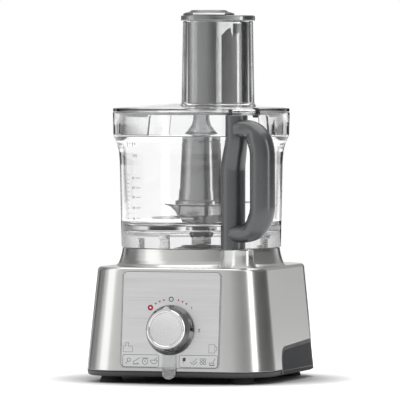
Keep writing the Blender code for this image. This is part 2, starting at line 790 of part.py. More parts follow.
def interlock_spring(centre):
    """The coil that lifts the plunger off its switch, drawn squeezed between the two."""
    low, high = SPRING_Z
    path = []
    for i in range(SPRING_TURNS * SPRING_POINTS + 1):
        turn = 2 * math.pi * i / SPRING_POINTS
        height = low + (high - low) * i / (SPRING_TURNS * SPRING_POINTS)
        x, y = SPRING_RADIUS * math.cos(turn), SPRING_RADIUS * math.sin(turn)
        path.append((centre.x + x, centre.y + y, height))
    return rod("interlock_spring", path, SPRING_WIRE, STEEL, sides=0)


def electrics():
    box("filter_board", (-88, -44, 40), (-86.4, 6, 84), BOARD)
    interlock_spring(rod_place())
    x, y = rod_place()
    box("interlock_switch", (x - 6, y - 6, 88), (x + 6, y + 10, PLUNGER_Z[0] - 0.5), BLACK, bevel=0.8)
    turned(
        "interlock_plunger",
        [
            (0, PLUNGER_Z[1]),
            (PLUNGER_RADIUS, PLUNGER_Z[1]),
            (PLUNGER_RADIUS, SPRING_Z[1] + 2.6),
            (SPRING_RADIUS + 1.0, SPRING_Z[1] + 2.6),
            (SPRING_RADIUS + 1.0, SPRING_Z[1] + 1.2),
            (PLUNGER_RADIUS, SPRING_Z[1] + 1.2),
            (PLUNGER_RADIUS, PLUNGER_Z[0]),
            (0, PLUNGER_Z[0]),
        ],
        DARK,
        centre=rod_place(),
        steps=16,
    )


# ---------------------------------------------------------------- bowl


def bowl_outside(grow=0.0):
    """The bowl's outer profile, from the rim down."""
    points = [(COLLAR_OUTER, BOWL_RIM), (97.0, 269.5), (95.4, 264.6), (92.6, 258.6)]
    points += [(90.8, 251.0), (89.9, 240.0), (BOWL_RADIUS, BOWL_BOTTOM)]
    return [(r + grow, z) for r, z in points]


def bowl():
    inside = [
        (BOWL_RADIUS - 3.0, BOWL_BOTTOM),
        (BOWL_RADIUS - 2.8, 165.8),
        (11.5, 165.8),
        (11.5, TUBE_TOP),
        (14.0, TUBE_TOP),
        (14.8, BOWL_FLOOR),
        (80.5, BOWL_FLOOR),
        (83.6, 171.4),
        (84.9, 174.8),
        (86.9, 250.0),
        (88.4, 257.5),
        (91.2, 263.5),
        (COLLAR_INNER - 0.6, BOWL_LEDGE),
        (COLLAR_INNER, BOWL_LEDGE + 1.0),
        (COLLAR_INNER, BOWL_RIM),
    ]
    return turned("bowl", bowl_outside() + inside, CLEAR, steps=WIDE)


def handle_path():
    """The grip's middle line: out of the spine, down and back in, with round bends."""
    spine = place(SPINE_ANGLE, SPINE_HIGH)
    foot = place(SPINE_ANGLE, SPINE_LOW)
    grip = Vector(GRIP_PLACE)
    low, high = GRIP_ARMS_Z
    reach = (grip - foot).length

    def at(start, share, z):
        x, y = start + (grip - start) * share
        return (x, y, z)

    bend = GRIP_BEND / reach
    path = [at(spine, 0.0, high)]
    for root, centre, start in ((spine, high - GRIP_BEND, 90), (foot, low + GRIP_BEND, 0)):
        for i in range(7):
            turn = math.radians(start - 15 * i)
            share = 1 - bend + bend * math.cos(turn)
            path.append(at(root, share, centre + GRIP_BEND * math.sin(turn)))
    path.append(at(foot, 0.0, low))
    return path


def bowl_handle():
    low, high = SPINE_LOW, SPINE_HIGH
    route = ((low, BOWL_BOTTOM + GAP), (low, 236.0), (low + 1.6, 248.0))
    route += ((high - 1.6, 262.0), (high, 272.0), (high, SPINE_TOP))
    spine_path = [(*place(SPINE_ANGLE, distance), z) for distance, z in route]
    slim = SPINE_SHARE_AT_TOP
    radii = (1.0, 1.0, 0.98, slim + 0.02, slim, slim)
    handle = rod("bowl_handle", spine_path, SPINE_RADIUS, GREY, sides=6, radii=radii)
    grip = rod("grip_loop", handle_path(), GRIP_RADIUS, GREY, sides=5)
    join(handle, grip)
    profile = bowl_outside(GAP)
    profile = [(0.0, BOWL_RIM + 20), (COLLAR_OUTER + GAP, BOWL_RIM + 20)] + profile
    profile += [(BOWL_RADIUS + GAP, BOWL_BOTTOM - 20), (0.0, BOWL_BOTTOM - 20)]
    cut(handle, turned("bowl_room", profile, GREY, steps=WIDE))
    cut(handle, bore("rod_bore", ROD_RADIUS + 0.5, 120, 320, rod_place()))
    return handle


def interlock_rod():
    low, high = ROD_Z
    profile = [(0, high), (ROD_RADIUS - 0.6, high), (ROD_RADIUS, high - 0.8), (ROD_RADIUS, low), (0, low)]
    return turned("interlock_rod", profile, BLACK, centre=rod_place(), steps=16)


# ---------------------------------------------------------------- knife


def knife():
    hub = turned(
        "knife_hub",
        [
            (0, 265.4),
            (13.0, 265.4),
            (17.5, 264.0),
            (20.3, 260.5),
            (21.4, 255.0),
            (24.2, 212.0),
            (25.0, 196.0),
            (28.5, 195.2),
            (28.5, 191.2),
            (25.2, 190.4),
            (25.2, 180.0),
            (22.5, 175.0),
            (21.0, 171.5),
            (17.5, 171.5),
            (17.5, 240.0),
            (15.4, 247.0),
            (9.4, 247.0),
            (9.4, 252.6),
            (0, 252.6),
        ],
        GREY,
    )
    socket = turned("hub_socket", [(0, 262.6), (6.1, 262.6), (6.1, 240), (0, 240)], GREY, steps=6)
    cut(hub, socket)
    for name, z, angle in (("blade_upper", BLADE_UPPER_Z, 2.0), ("blade_lower", BLADE_LOWER_Z, 182.0)):
        blade = blade_plate(name, z, angle)
        # The hub is moulded round the blade's root, so the hub gives way to it.
        room = blade_plate(name + "_room", z, angle, GAP)
        cut(hub, room)
        blade.data.materials[0] = STEEL
    return hub


def blade_plate(name, z, angle, grow=0.0):
    """A sickle blade: its back edge is one arc and its cutting edge another."""
    back = arc(-4.0, 30.0, 50.0 + grow, -62, 68, 12)
    front = arc(-20.0, 22.0, 44.0 - grow, 75, -50, 12)
    root_out, root_in = 23.2 + grow, 18.6 - grow
    outline = [p for p in back if math.hypot(*p) > root_out]
    outline += [p for p in front if math.hypot(*p) > root_out]
    first, last = outline[-1], outline[0]
    start, end = (math.degrees(math.atan2(p[1], p[0])) for p in (first, last))
    outline += arc(0, 0, root_in, start, end, 5)
    turn = Matrix.Rotation(math.radians(angle), 4, "Z")
    half = BLADE_THICKNESS / 2 + grow
    return prism(name, [outline], z - half, z + half, STEEL, turn)


# ---------------------------------------------------------------- lid and pushers


def lid():
    body = turned(
        "lid",
        [
            (10.2, LID_CROWN),
            (34.0, LID_CROWN - 1.0),
            (64.0, LID_CROWN - 3.0),
            (92.0, LID_CROWN - 5.2),
            (96.4, LID_Z[1]),
            (LID_RADIUS, LID_Z[1] - 0.8),
            (LID_RADIUS, LID_Z[0]),
            (SKIRT_RADIUS[1], LID_Z[0]),
            (SKIRT_RADIUS[1], SKIRT_BOTTOM),
            (SKIRT_RADIUS[0], SKIRT_BOTTOM),
            (SKIRT_RADIUS[0], LID_Z[0] + 1.6),
            (64.0, LID_CROWN - 5.6),
            (34.0, LID_CROWN - 3.6),
            (10.2, LID_CROWN - 2.8),
        ],
        CLEAR,
        steps=WIDE,
    )
    cut(body, skirt_window("window_front", WINDOW_FRONT, 290.0))
    cut(body, skirt_window("window_rear", WINDOW_REAR, 286.0))
    first, second = feed_line()
    bottom, top = FEED_RADIUS
    join(
        body,
        lofted(
            "feed_tube",
            [(stadium(first, second, bottom), 292.0), (stadium(first, second, top), FEED_TOP)],
            CLEAR,
        ),
        lid_tab(),
    )
    bore = lofted(
        "feed_bore",
        [
            (stadium(first, second, bottom - FEED_WALL + 0.1), 286.0),
            (stadium(first, second, top - FEED_WALL), FEED_TOP + 6),
        ],
        CLEAR,
    )
    cut(body, bore)
    return body


def skirt_window(name, angles, top):
    """A block that opens the skirt between two directions, with slanting ends."""
    low, high = angles
    sections = []
    for z, spread in ((SKIRT_BOTTOM - 3, 1.5), (top, -1.0)):
        near, far = [], []
        for i in range(9):
            angle = low - spread + (high - low + 2 * spread) * i / 8
            near.append(tuple(place(angle, SKIRT_RADIUS[0] - 3)))
            far.append(tuple(place(angle, SKIRT_RADIUS[1] + 3)))
        sections.append((far + near[::-1], z))
    return lofted(name, sections, CLEAR)


def lid_tab():
    """The tab that reaches over the handle's spine and holds the interlock rod down."""
    low, high = TAB_ANGLES
    near = [tuple(place(low + (high - low) * i / 4, 92.0)) for i in range(5)]
    far = [tuple(place(low + (high - low) * i / 4, 111.0)) for i in range(5)]
    tab = prism("lid_tab", [far + near[::-1]], ROD_Z[1] + 0.6, LID_Z[1] - 0.6, CLEAR)
    # The rim of the bowl stands inside the tab's root, so the tab starts above the rim there.
    profile = [(98.6, LID_Z[0]), (98.6, 285.0), (85.0, 285.0), (85.0, LID_Z[0])]
    rim = turned("tab_rim_room", profile, CLEAR, steps=WIDE)
    cut(tab, rim)
    return tab


def lid_bearing():
    """The bell under the lid that steadies the top of the knife."""
    profile = [
        (9.9, LID_CROWN + 1.2),
        (9.9, LID_CROWN - 3.4),
        (8.9, LID_CROWN - 3.6),
        (8.9, 283.0),
        (10.4, 278.4),
        (14.6, 273.6),
        (19.3, 269.6),
        (18.6, 269.0),
        (13.6, 272.0),
        (8.6, 277.4),
        (7.0, 283.0),
        (7.0, LID_CROWN - 1.0),
        (0.0, LID_CROWN - 1.0),
    ]
    return turned("lid_bearing", [(0.0, LID_CROWN + 1.2)] + profile, SMOKE)


def lid_seal():
    low, high = 290.8, 293.2
    profile = [(94.0, high), (94.0, low + 0.8), (92.4, low), (90.9, low), (90.9, high)]
    return turned("lid_seal", profile, RUBBER, steps=WIDE)


def feed_point(along, out):
    """A plan point in the feed tube's own directions: along its width, and out from the axis."""
    middle = place(FEED_ANGLE, FEED_DISTANCE)
    turn = math.radians(FEED_ANGLE)
    right, front = Vector((math.cos(turn), math.sin(turn))), Vector((math.sin(turn), -math.cos(turn)))
    return tuple(middle + right * along + front * out)


def feed_frame():
    """A frame on the feed tube's middle line: x along its width, y up, z out from the axis."""
    turn = math.radians(FEED_ANGLE)
    across, deep = math.cos(turn), math.sin(turn)
    found = Matrix(((across, 0, deep, 0), (deep, 0, -across, 0), (0, 1, 0, 0), (0, 0, 0, 1)))
    found.translation = Vector((*place(FEED_ANGLE, FEED_DISTANCE), 0.0)) * MM
    return found


def large_pusher():
    """A block with round ends: hollow at the right, and bored at the left for the small pusher."""
    low, high = PUSHER_BOTTOM, FLANGE_Z[0]
    right_end = arc(12.0, 0.0, PUSHER_RADIUS, -90, 90, 18)
    left_end = arc(-12.0, 0.0, PUSHER_RADIUS, 90, 270, 18)
    outer = [feed_point(*p) for p in right_end + list(PUSHER_FACETS) + left_end]
    inner_end = arc(12.0, 0.0, PUSHER_RADIUS - PUSHER_WALL, -90, 90, 18)
    inner = [feed_point(*p) for p in inner_end + [(4.4, 19.0), (-3.4, 17.9), (-3.4, -19.6)]]
    body = lofted("large_pusher", [(outer, low), (outer, high + 1)], GREY)
    cut(body, lofted("pusher_hollow", [(inner, low - 4), (inner, high - 3)], GREY))
    cut(body, prism("pusher_recess", [PUSHER_RECESS], 19.9, 26.0, GREY, feed_frame()))
    left, right = feed_line()
    flange = lofted(
        "pusher_flange",
        [
            (stadium(left, right, FLANGE_RADIUS), FLANGE_Z[0]),
            (stadium(left, right, FLANGE_RADIUS), FLANGE_Z[1] - 1),
            (stadium(left, right, FLANGE_RADIUS - 1), FLANGE_Z[1]),
        ],
        GREY,
    )
    sleeve, wall = SMALL_PUSHER_RADIUS + 0.5, 1.8
    top = high + 0.5
    profile = [(sleeve + wall, top), (sleeve + wall, low), (sleeve - 0.2, low), (sleeve - 0.2, top)]
    guide = turned("pusher_guide", profile, GREY, small_place(), 32)
    join(body, flange, guide)
    cut(body, bore("pusher_bore", sleeve, 290, TOP + 9, small_place(), 32))
    return body


def small_place():
    """The small pusher's centre, in the left end of the feed tube."""
    return feed_point(SMALL_PUSHER_ALONG, 0.0)


def small_pusher():
    radius, low, high = SMALL_PUSHER_RADIUS, PUSHER_BOTTOM + 0.5, FLANGE_Z[1]
    profile = [(0, high), (radius, high), (radius, low), (radius - 2, low)]
    profile += [(radius - 2, high - 4), (0, high - 4)]
    turned("small_pusher", profile, GREY, centre=small_place(), steps=32)
    low = FLANGE_Z[1] + GAP
    profile = [(0, TOP - 1.2), (16.5, TOP - 1.2), (17.4, TOP), (18.8, TOP)]
    profile += [(24.0, low + 3.2), (CAP_RADIUS, low + 1.4), (CAP_RADIUS, low), (0, low)]
    turned("small_pusher_cap", profile, GREY, feed_point(CAP_ALONG, 0.0), 32)


# ---------------------------------------------------------------- assembly

clear_scene()
PARTS = collection("food_processor")
CUTTERS = collection("cutters")

SILVER = material("silver_plastic", (0.62, 0.62, 0.61), 0.32, 0.85)
BRUSHED = material("brushed_panel", (0.74, 0.74, 0.74), 0.38, 0.9)
CHROME = material("chrome", (0.78, 0.78, 0.78), 0.08, 1.0)
SATIN = material("satin_cap", (0.85, 0.85, 0.85), 0.3, 0.6)
CLEAR = material("clear_plastic", (0.95, 0.96, 0.96), 0.05, 0.0, 0.95)
SMOKE = material("smoked_plastic", (0.42, 0.44, 0.44), 0.25, 0.0, 0.6)
GREY = material("grey_plastic", (0.12, 0.125, 0.13), 0.32)
DARK = material("dark_plastic", (0.06, 0.06, 0.065), 0.45)
BLACK = material("black_plastic", (0.02, 0.02, 0.02), 0.5)
RUBBER = material("rubber", (0.02, 0.02, 0.02), 0.8)
STEEL = material("stainless_steel", (0.6, 0.6, 0.6), 0.2, 1.0)
ALUMINIUM = material("cast_aluminium", (0.55, 0.55, 0.56), 0.4, 1.0)
COPPER = material("copper_winding", (0.55, 0.22, 0.1), 0.35, 0.9)
BRASS = material("brass", (0.7, 0.5, 0.2), 0.3, 1.0)
LAMINATION = material("steel_lamination", (0.25, 0.25, 0.26), 0.5, 0.8)
BOARD = material("circuit_board", (0.03, 0.16, 0.06), 0.5)

base_housing()
base_plinth()
control_panel()
status_lens()
cord_gland()
feet()
base_screws()
dial()
motor()
drive_frame()
rotor()
spindle()
bearings()
motor_bushes()
drive_belt()
electrics()
bowl()
bowl_handle()
interlock_rod()
knife()
lid()
lid_bearing()
lid_seal()
large_pusher()
small_pusher()
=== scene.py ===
import math

import bmesh
import bpy
from mathutils import Matrix, Vector


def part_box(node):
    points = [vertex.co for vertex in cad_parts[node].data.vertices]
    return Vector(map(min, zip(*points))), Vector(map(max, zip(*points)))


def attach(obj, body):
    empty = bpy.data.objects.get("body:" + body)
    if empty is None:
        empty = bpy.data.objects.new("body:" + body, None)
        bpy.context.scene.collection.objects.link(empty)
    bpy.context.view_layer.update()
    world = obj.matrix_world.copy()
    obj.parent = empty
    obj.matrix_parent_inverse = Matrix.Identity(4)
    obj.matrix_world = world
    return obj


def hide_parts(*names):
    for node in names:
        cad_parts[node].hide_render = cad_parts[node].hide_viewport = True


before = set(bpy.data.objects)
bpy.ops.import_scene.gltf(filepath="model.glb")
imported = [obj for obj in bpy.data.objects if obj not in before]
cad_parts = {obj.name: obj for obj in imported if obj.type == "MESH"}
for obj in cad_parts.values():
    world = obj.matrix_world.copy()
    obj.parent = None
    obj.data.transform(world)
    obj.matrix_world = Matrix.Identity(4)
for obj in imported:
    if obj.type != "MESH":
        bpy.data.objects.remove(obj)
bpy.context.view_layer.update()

# Sizes in this file are in millimetres unless a comment says otherwise, and are built in metres.
# X points right as seen from the front, Y to the back and Z up; the spindle's axis is the origin.
# Directions round the axis are angles from the front, growing towards the right.
MM = 0.001


def low(node):
    """The lowest corner of a CAD node, in millimetres."""
    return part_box(node)[0] / MM


def high(node):
    """The highest corner of a CAD node, in millimetres."""
    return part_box(node)[1] / MM


def middle(node):
    return (low(node) + high(node)) / 2


# View, in degrees and metres.
VIEW_ANGLE = 17.0
VIEW_DISTANCE = 6.0
VIEW_HEIGHT = 0.33
VIEW_AIM = (-0.0014, 0.1968)  # how far to the right of the axis, and how high, the camera looks
VIEW_LENS, SENSOR = 490.9, 36.0  # millimetres

# Base, as the CAD has it: half width, front and rear depth, front and rear corner radius.
HOUSING_BOTTOM = 13.8
DECK = 125.5
PLAN_BOTTOM = (107.0, 118.5, 130.0, 48.0, 61.0)
PLAN_DECK = (95.5, 107.5, 119.0, 42.0, 49.0)
HOUSING_WALL, PLINTH_WALL = 2.5, 2.5
COLLAR_TOP = 145.2
FRONT_TILT = math.atan2(PLAN_BOTTOM[1] - PLAN_DECK[1], DECK - HOUSING_BOTTOM)
REAR_SKIRT_EDGE = ((-50.0, 4.0), (-47.0, 27.0), (-42.0, 35.0), (-34.0, 38.5), (145.0, 46.0), (145.0, 4.0))
REAR_SKIRT_INSET = 1.2
LUG_ANGLE = -13.0
VENTS, VENT_START, VENT_PITCH = 7, -14.0, 8.0
PANEL_HALF_WIDTH = 55.8
PANEL_Z = (17.0, 122.0)
PANEL_CORNER = 6.0
PANEL_FACE = 0.3
INK_HEIGHT = 0.04
LENS_HALF_WIDTH, LENS_TOP = 7.6, 17.8
DIAL_Z = 58.5
DIAL_HEIGHT = 18.3
DIAL_FACE_RADIUS = 17.8
DIAL_DISH = 3.3
MARK_RADIUS, STEP_RADIUS = 33.5, 0.95

# Bowl, handle and lid.
COLLAR_OUTER, COLLAR_INNER = 97.5, 94.3
BOWL_RADIUS, BOWL_SHOULDER = 87.8, (89.9, 240.0)  # the wall widens up to this radius at this height
BOWL_FLOOR, BOWL_LEDGE = 169.7, 267.2
BOWL_BOTTOM, BOWL_RIM = low("bowl").z, high("bowl").z
SCALE_ANGLE = -38.5
SPINE_ANGLE = 38.5
SPINE_RADIUS = 13.4
SPINE_SHARE_AT_TOP = 0.9
SPINE_LOW, SPINE_HIGH = 94.0, 104.0
SPINE_LEAN_Z = (230.0, 268.0)  # where it leans out, over the bowl's shoulder
SPINE_TOP = high("bowl_handle").z + 1.4
GRIP_PLACE = (98.4, -96.2)
GRIP_RADIUS = 13.6
GRIP_ARMS_Z = (162.5, 276.3)
GRIP_BEND = 30.0
ARM_SHARE = 0.72  # how thick the arms are where they leave the spine, as a share of the grip
ARM_SHIFT = 6.5  # how far to the front of the spine's middle they leave it
# The arms' round ends: how far from the spine's middle, and how thick.
ARM_ROOT = ((2.6, 0.36), (2.9, 0.5), (3.9, 0.6), (7.0, 0.67))
FIN_TURN, ARCH_TURN = 205, 78.6  # how far the hub's fins and the lid's small arch are turned
LID_CROWN = 303.8
LID_RIM_Z = (294.0, 297.8)
BLADE_EDGE, BLADE_ROOT = 23.2, 18.6  # how near the axis the blades' edges come, and their roots
SKIRT_RADIUS = (88.0, 90.5)
SKIRT_BOTTOM = 268.5
SKIRT_WINDOWS = ((-22.0, 70.0, 290.0), (150.0, 220.0, 286.0))  # start, end and upper edge
TAB_ANGLES = (34.6, 52.0)
FEED_ANGLE, FEED_DISTANCE, FEED_HALF = 41.0, 45.0, 13.0
FEED_RADIUS = (28.0, 26.5)
FEED_WALL = 2.5
FEED_TOP = 392.9
PUSHER_RADIUS, PUSHER_HALF, PUSHER_WALL = 22.0, 12.0, 2.4
PUSHER_BOTTOM = 299.2
# Corners of the large pusher's front face: along the feed tube's width, and out.
PUSHER_FACETS = ((4.7, 21.4), (4.0, 22.1), (-6.0, 20.4), (-6.0, 21.6))
# The recess under the flange, as distances along the feed tube's width and heights.
PUSHER_RECESS = ((-8.0, 376.2), (3.4, 385.3), (5.3, 376.1), (13.8, 380.6), (17.6, 392.6), (-8.0, 392.6))
RECESS_LEAN = 4.0  # degrees by which its floor gets deeper to one side
FLANGE_Z = (393.3, 399.3)
FLANGE_RADIUS = 28.6
SMALL_RADIUS = 14.8
SMALL_ALONG = -17.5
CAP_RADIUS, CAP_ALONG = 28.0, -11.0
# The cap's pale bands, a painted highlight, spread this far to each side of their middles.
HIGHLIGHT_HALF = 38  # degrees to each side
CAP_TOP = high("small_pusher_cap").z

FINE, MEDIUM, SMALL = 128, 72, 40  # sides of turned pieces
SHARP = 32.0  # degrees between faces that leave an edge sharp


# ---------------------------------------------------------------- outlines


def place(angle, distance):
    """The plan point this far from the axis, in this direction from the front."""
    turn = math.radians(angle)
    return Vector((distance * math.sin(turn), -distance * math.cos(turn)))


def arc(cx, cy, radius, start, end, count):
    found = []
    for i in range(count + 1):
        turn = math.radians(start + (end - start) * i / count)
        found.append((cx + radius * math.cos(turn), cy + radius * math.sin(turn)))
    return found


def eased(share):
    """From 0 to 1 with a soft start and end."""
    return share * share * (3 - 2 * share)


def circle(cx, cy, radius, count=48):
    return arc(cx, cy, radius, 0, 360, count)[:-1]


def stadium(first, second, radius, half=24):
    """The outline of a bar with round ends, between the middles of its ends."""
    first, second = Vector(first), Vector(second)
    along = math.degrees(math.atan2(second.y - first.y, second.x - first.x))
    points = arc(second.x, second.y, radius, along - 90, along + 90, half)
    return points + arc(first.x, first.y, radius, along + 90, along + 270, half)


def rounded_rectangle(half_x, half_y, radius, corner, centre=(0.0, 0.0)):
    points = []
    for quarter, (sx, sy) in enumerate(((1, 1), (-1, 1), (-1, -1), (1, -1))):
        cx = centre[0] + sx * (half_x - radius)
        cy = centre[1] + sy * (half_y - radius)
        points += arc(cx, cy, radius, quarter * 90, quarter * 90 + 90, corner)
    return points


def softened(points, radius=0.0):
    """The outline with its corners rounded by this radius, or by the one that a point carries."""
    found, steps, total = [], 5, len(points)
    for i, point in enumerate(points):
        here = Vector(point[:2])
        own = point[2] if len(point) > 2 else radius
        if own <= 0:
            found.append(tuple(here))
            continue
        before = Vector(points[i - 1][:2]) - here
        after = Vector(points[(i + 1) % total][:2]) - here
        angle = before.angle(after)
        if angle > math.radians(179):
            found.append(tuple(here))
            continue
        reach = min(own / math.tan(angle / 2), before.length * 0.46, after.length * 0.46)
        first, last = here + before.normalized() * reach, here + after.normalized() * reach
        for k in range(steps + 1):
            t = k / steps
            found.append(tuple(first * (1 - t) ** 2 + here * 2 * t * (1 - t) + last * t * t))
    return found


def ring_part(start, end, inner, outer, count, centre=(0.0, 0.0)):
    """Two arcs round a point between two directions: the outer one, and the inner one backwards."""
    found = []
    for radius in (outer, inner):
        angles = [start + (end - start) * i / count for i in range(count + 1)]
        found.append([tuple(Vector(centre) + place(angle, radius)) for angle in angles])
    return found[0], found[1][::-1]


def plan_sizes(height):
    """The base's plan sizes at a height: half width, two depths and two corner radii."""
    share = (height - HOUSING_BOTTOM) / (DECK - HOUSING_BOTTOM)
    return [a + (b - a) * share for a, b in zip(PLAN_BOTTOM, PLAN_DECK)]


def base_plan(height, inset=0.0):
    """The outline of the tapering base at a height, drawn in by the inset."""
    half, front, rear, front_radius, rear_radius = (size - inset for size in plan_sizes(height))
    corners = (
        (1, rear, rear_radius, 1),
        (-1, rear, rear_radius, 1),
        (-1, front, front_radius, -1),
        (1, front, front_radius, -1),
    )
    points = []
    for quarter, (side, depth, radius, end) in enumerate(corners):
        centre = (side * (half - radius), end * (depth - radius))
        points += arc(*centre, radius, quarter * 90, quarter * 90 + 90, 20)
    return points


def front_frame(height):
    """A frame on the sloping front: x right, y up the face, z straight out of it."""
    depth = plan_sizes(height)[1]
    lean, rise = math.sin(FRONT_TILT), math.cos(FRONT_TILT)
    found = Matrix(((1, 0, 0, 0), (0, lean, -rise, 0), (0, rise, lean, 0), (0, 0, 0, 1)))
    found.translation = Vector((0.0, -depth, height)) * MM
    return found


def feed_line():
    """The ends of the feed tube's middle line, left end first as seen from outside."""
    centre = place(FEED_ANGLE, FEED_DISTANCE)
    turn = math.radians(FEED_ANGLE)
    along = Vector((math.cos(turn), math.sin(turn)))
    return centre - along * FEED_HALF, centre + along * FEED_HALF


def feed_point(along, out):
    """A plan point in the feed tube's own directions: along its width, and out from the axis."""
    turn = math.radians(FEED_ANGLE)
    right, front = Vector((math.cos(turn), math.sin(turn))), Vector((math.sin(turn), -math.cos(turn)))
    return tuple(place(FEED_ANGLE, FEED_DISTANCE) + right * along + front * out)


def feed_frame():
    """A frame on the feed tube's middle line: x along its width, y up, z out from the axis."""
    turn = math.radians(FEED_ANGLE)
    across, deep = math.cos(turn), math.sin(turn)
    found = Matrix(((across, 0, deep, 0), (deep, 0, -across, 0), (0, 1, 0, 0), (0, 0, 0, 1)))
    found.translation = Vector((*place(FEED_ANGLE, FEED_DISTANCE), 0.0)) * MM
    return found


# ---------------------------------------------------------------- meshes


def placed(name, data):
    """A new object in the scene, holding this mesh, curve, light or camera."""
    found = bpy.data.objects.new(name, data)
    bpy.context.scene.collection.objects.link(found)
    return found


def smooth(mesh, sharp):
    """Smooth shading except at edges sharper than this many degrees."""
    mesh.shade_smooth()
    mesh.set_sharp_from_angle(angle=math.radians(sharp))


def made(name, mesh, matrix=None, sharp=SHARP):
    """An object with this mesh moved into place."""
    if matrix:
        mesh.transform(matrix)
    smooth(mesh, sharp)
    return placed(name, mesh)


def mesh_of(name, shape):
    mesh = bpy.data.meshes.new(name)
    shape.to_mesh(mesh)
    shape.free()
    return mesh


def final_mesh(piece):
    """The mesh of an object after its curve settings or its modifiers."""
    graph = bpy.context.evaluated_depsgraph_get()
    return bpy.data.meshes.new_from_object(piece.evaluated_get(graph))


def from_faces(name, points, faces, matrix=None, uvs=None, sharp=SHARP):
    shape = bmesh.new()
    verts = [shape.verts.new(Vector(p) * MM) for p in points]
    layer = shape.loops.layers.uv.new("UVMap") if uvs else None
    for face in faces:
        new = shape.faces.new([verts[i] for i in face])
        if uvs:
            for loop, i in zip(new.loops, face):
                loop[layer].uv = uvs[i]
    bmesh.ops.recalc_face_normals(shape, faces=shape.faces)
    return made(name, mesh_of(name, shape), matrix, sharp)


def turned(name, profile, steps=FINE, centre=(0.0, 0.0), matrix=None, sharp=SHARP):
    """A closed profile of radius and height, turned about the z axis."""
    points, faces, uvs, rings = [], [], [], []
    for radius, z in profile:
        if radius < 1e-6:
            rings.append([len(points)] * steps)
            points.append((centre[0], centre[1], z))
            uvs.append((0.0, 0.0))
            continue
        ring = []
        for i in range(steps):
            turn = 2 * math.pi * i / steps
            ring.append(len(points))
            points.append((centre[0] + radius * math.cos(turn), centre[1] + radius * math.sin(turn), z))
            uvs.append((i / steps, radius * MM * 10))
        rings.append(ring)
    for here, there in zip(rings, rings[1:] + rings[:1]):
        for i in range(steps):
            j = (i + 1) % steps
            corners = [here[i], here[j], there[j], there[i]]
            face = list(dict.fromkeys(corners))
            if len(face) > 2:
                faces.append(face)
    return from_faces(name, points, faces, matrix, uvs, sharp)


def lofted(name, sections):
    """A solid through outlines of as many points each, given with their heights."""
    points, faces = [], []
    count = len(sections[0][0])
    for outline, z in sections:
        points += [(x, y, z) for x, y in outline]
    for level in range(len(sections) - 1):
        for i in range(count):
            j = (i + 1) % count
            a, b = level * count, (level + 1) * count
            faces.append((a + i, a + j, b + j, b + i))
    faces.append(tuple(reversed(range(count))))
    faces.append(tuple(range((len(sections) - 1) * count, len(sections) * count)))
    return from_faces(name, points, faces)


def slab(name, outlines, bottom, top, matrix=None, bevel=0.0):
    """A flat outline, or an outline with holes, between two heights, with rounded edges if asked."""
    curve = bpy.data.curves.new(name, "CURVE")
    curve.dimensions = "2D"
    curve.fill_mode = "BOTH"
    curve.extrude = (top - bottom) / 2 * MM
    for outline in outlines:
        spline = curve.splines.new("POLY")
        spline.points.add(len(outline) - 1)
        for point, (x, y) in zip(spline.points, outline):
            point.co = (x * MM, y * MM, 0.0, 1.0)
        spline.use_cyclic_u = True
    lift = Matrix.Translation((0.0, 0.0, (bottom + top) / 2 * MM))
    piece = curve_to_mesh(name, curve, (matrix or Matrix.Identity(4)) @ lift)
    if bevel:
        rounded_edges(piece, bevel)
    return piece


def tube(name, path, radius, sides, shares):
    """A round bar along a path, with closed ends. Shares scale its radius at each point."""
    curve = bpy.data.curves.new(name, "CURVE")
    curve.dimensions = "3D"
    curve.bevel_depth = radius * MM
    curve.bevel_resolution = sides // 2 - 1
    curve.use_fill_caps = True
    spline = curve.splines.new("POLY")
    spline.points.add(len(path) - 1)
    for point, at, share in zip(spline.points, path, shares):
        point.co = (*(Vector(at) * MM), 1.0)
        point.radius = share
    return curve_to_mesh(name, curve, Matrix.Identity(4))


def curve_to_mesh(name, curve, matrix):
    helper = placed(name + "_curve", curve)
    mesh = final_mesh(helper)
    bpy.data.objects.remove(helper)
    mesh.materials.clear()
    shape = bmesh.new()
    shape.from_mesh(mesh)
    bmesh.ops.remove_doubles(shape, verts=shape.verts, dist=0.000001)
    bmesh.ops.recalc_face_normals(shape, faces=shape.faces)
    shape.to_mesh(mesh)
    shape.free()
    return made(name, mesh, matrix)


def block(name, near, far, bevel=0.0, matrix=None):
    """A box between two corners, with rounded edges if asked."""
    size, centre = Vector(far) - Vector(near), (Vector(far) + Vector(near)) / 2
    shape = bmesh.new()
    bmesh.ops.create_cube(shape, size=1.0)
    bmesh.ops.scale(shape, vec=size * MM, verts=shape.verts)
    bmesh.ops.translate(shape, vec=centre * MM, verts=shape.verts)
    piece = made(name, mesh_of(name, shape), matrix)
    if bevel:
        rounded_edges(piece, bevel)
    return piece


def apply_modifiers(piece, sharp=SHARP):
    mesh = final_mesh(piece)
    piece.modifiers.clear()
    piece.data = mesh
    smooth(mesh, sharp)


def rounded_edges(piece, width):
    change = piece.modifiers.new("edges", "BEVEL")
    change.width = width * MM
    change.segments = 3
    change.limit_method = "ANGLE"
    change.angle_limit = math.radians(30.0)
    change.use_clamp_overlap = True
    apply_modifiers(piece, 50)


def combined(piece, others, operation):
    for other in others:
        change = piece.modifiers.new(other.name, "BOOLEAN")
        change.operation = operation
        change.solver = "EXACT"
        change.object = other
    apply_modifiers(piece)
    for other in others:
        bpy.data.objects.remove(other)
    return piece


def cut(piece, *others):
    return combined(piece, others, "DIFFERENCE")


def join(piece, *others):
    return combined(piece, others, "UNION")


def keep_inside(piece, other):
    return combined(piece, [other], "INTERSECT")


def merged(name, pieces):
    """Several loose shapes as one piece."""
    shape = bmesh.new()
    for piece in pieces:
        shape.from_mesh(piece.data)
        bpy.data.objects.remove(piece)
    return made(name, mesh_of(name, shape))


def even_normals(piece):
    """Keeps large flat faces flat next to their rounded edges."""
    change = piece.modifiers.new("normals", "WEIGHTED_NORMAL")
    change.keep_sharp = True
    change.weight = 60


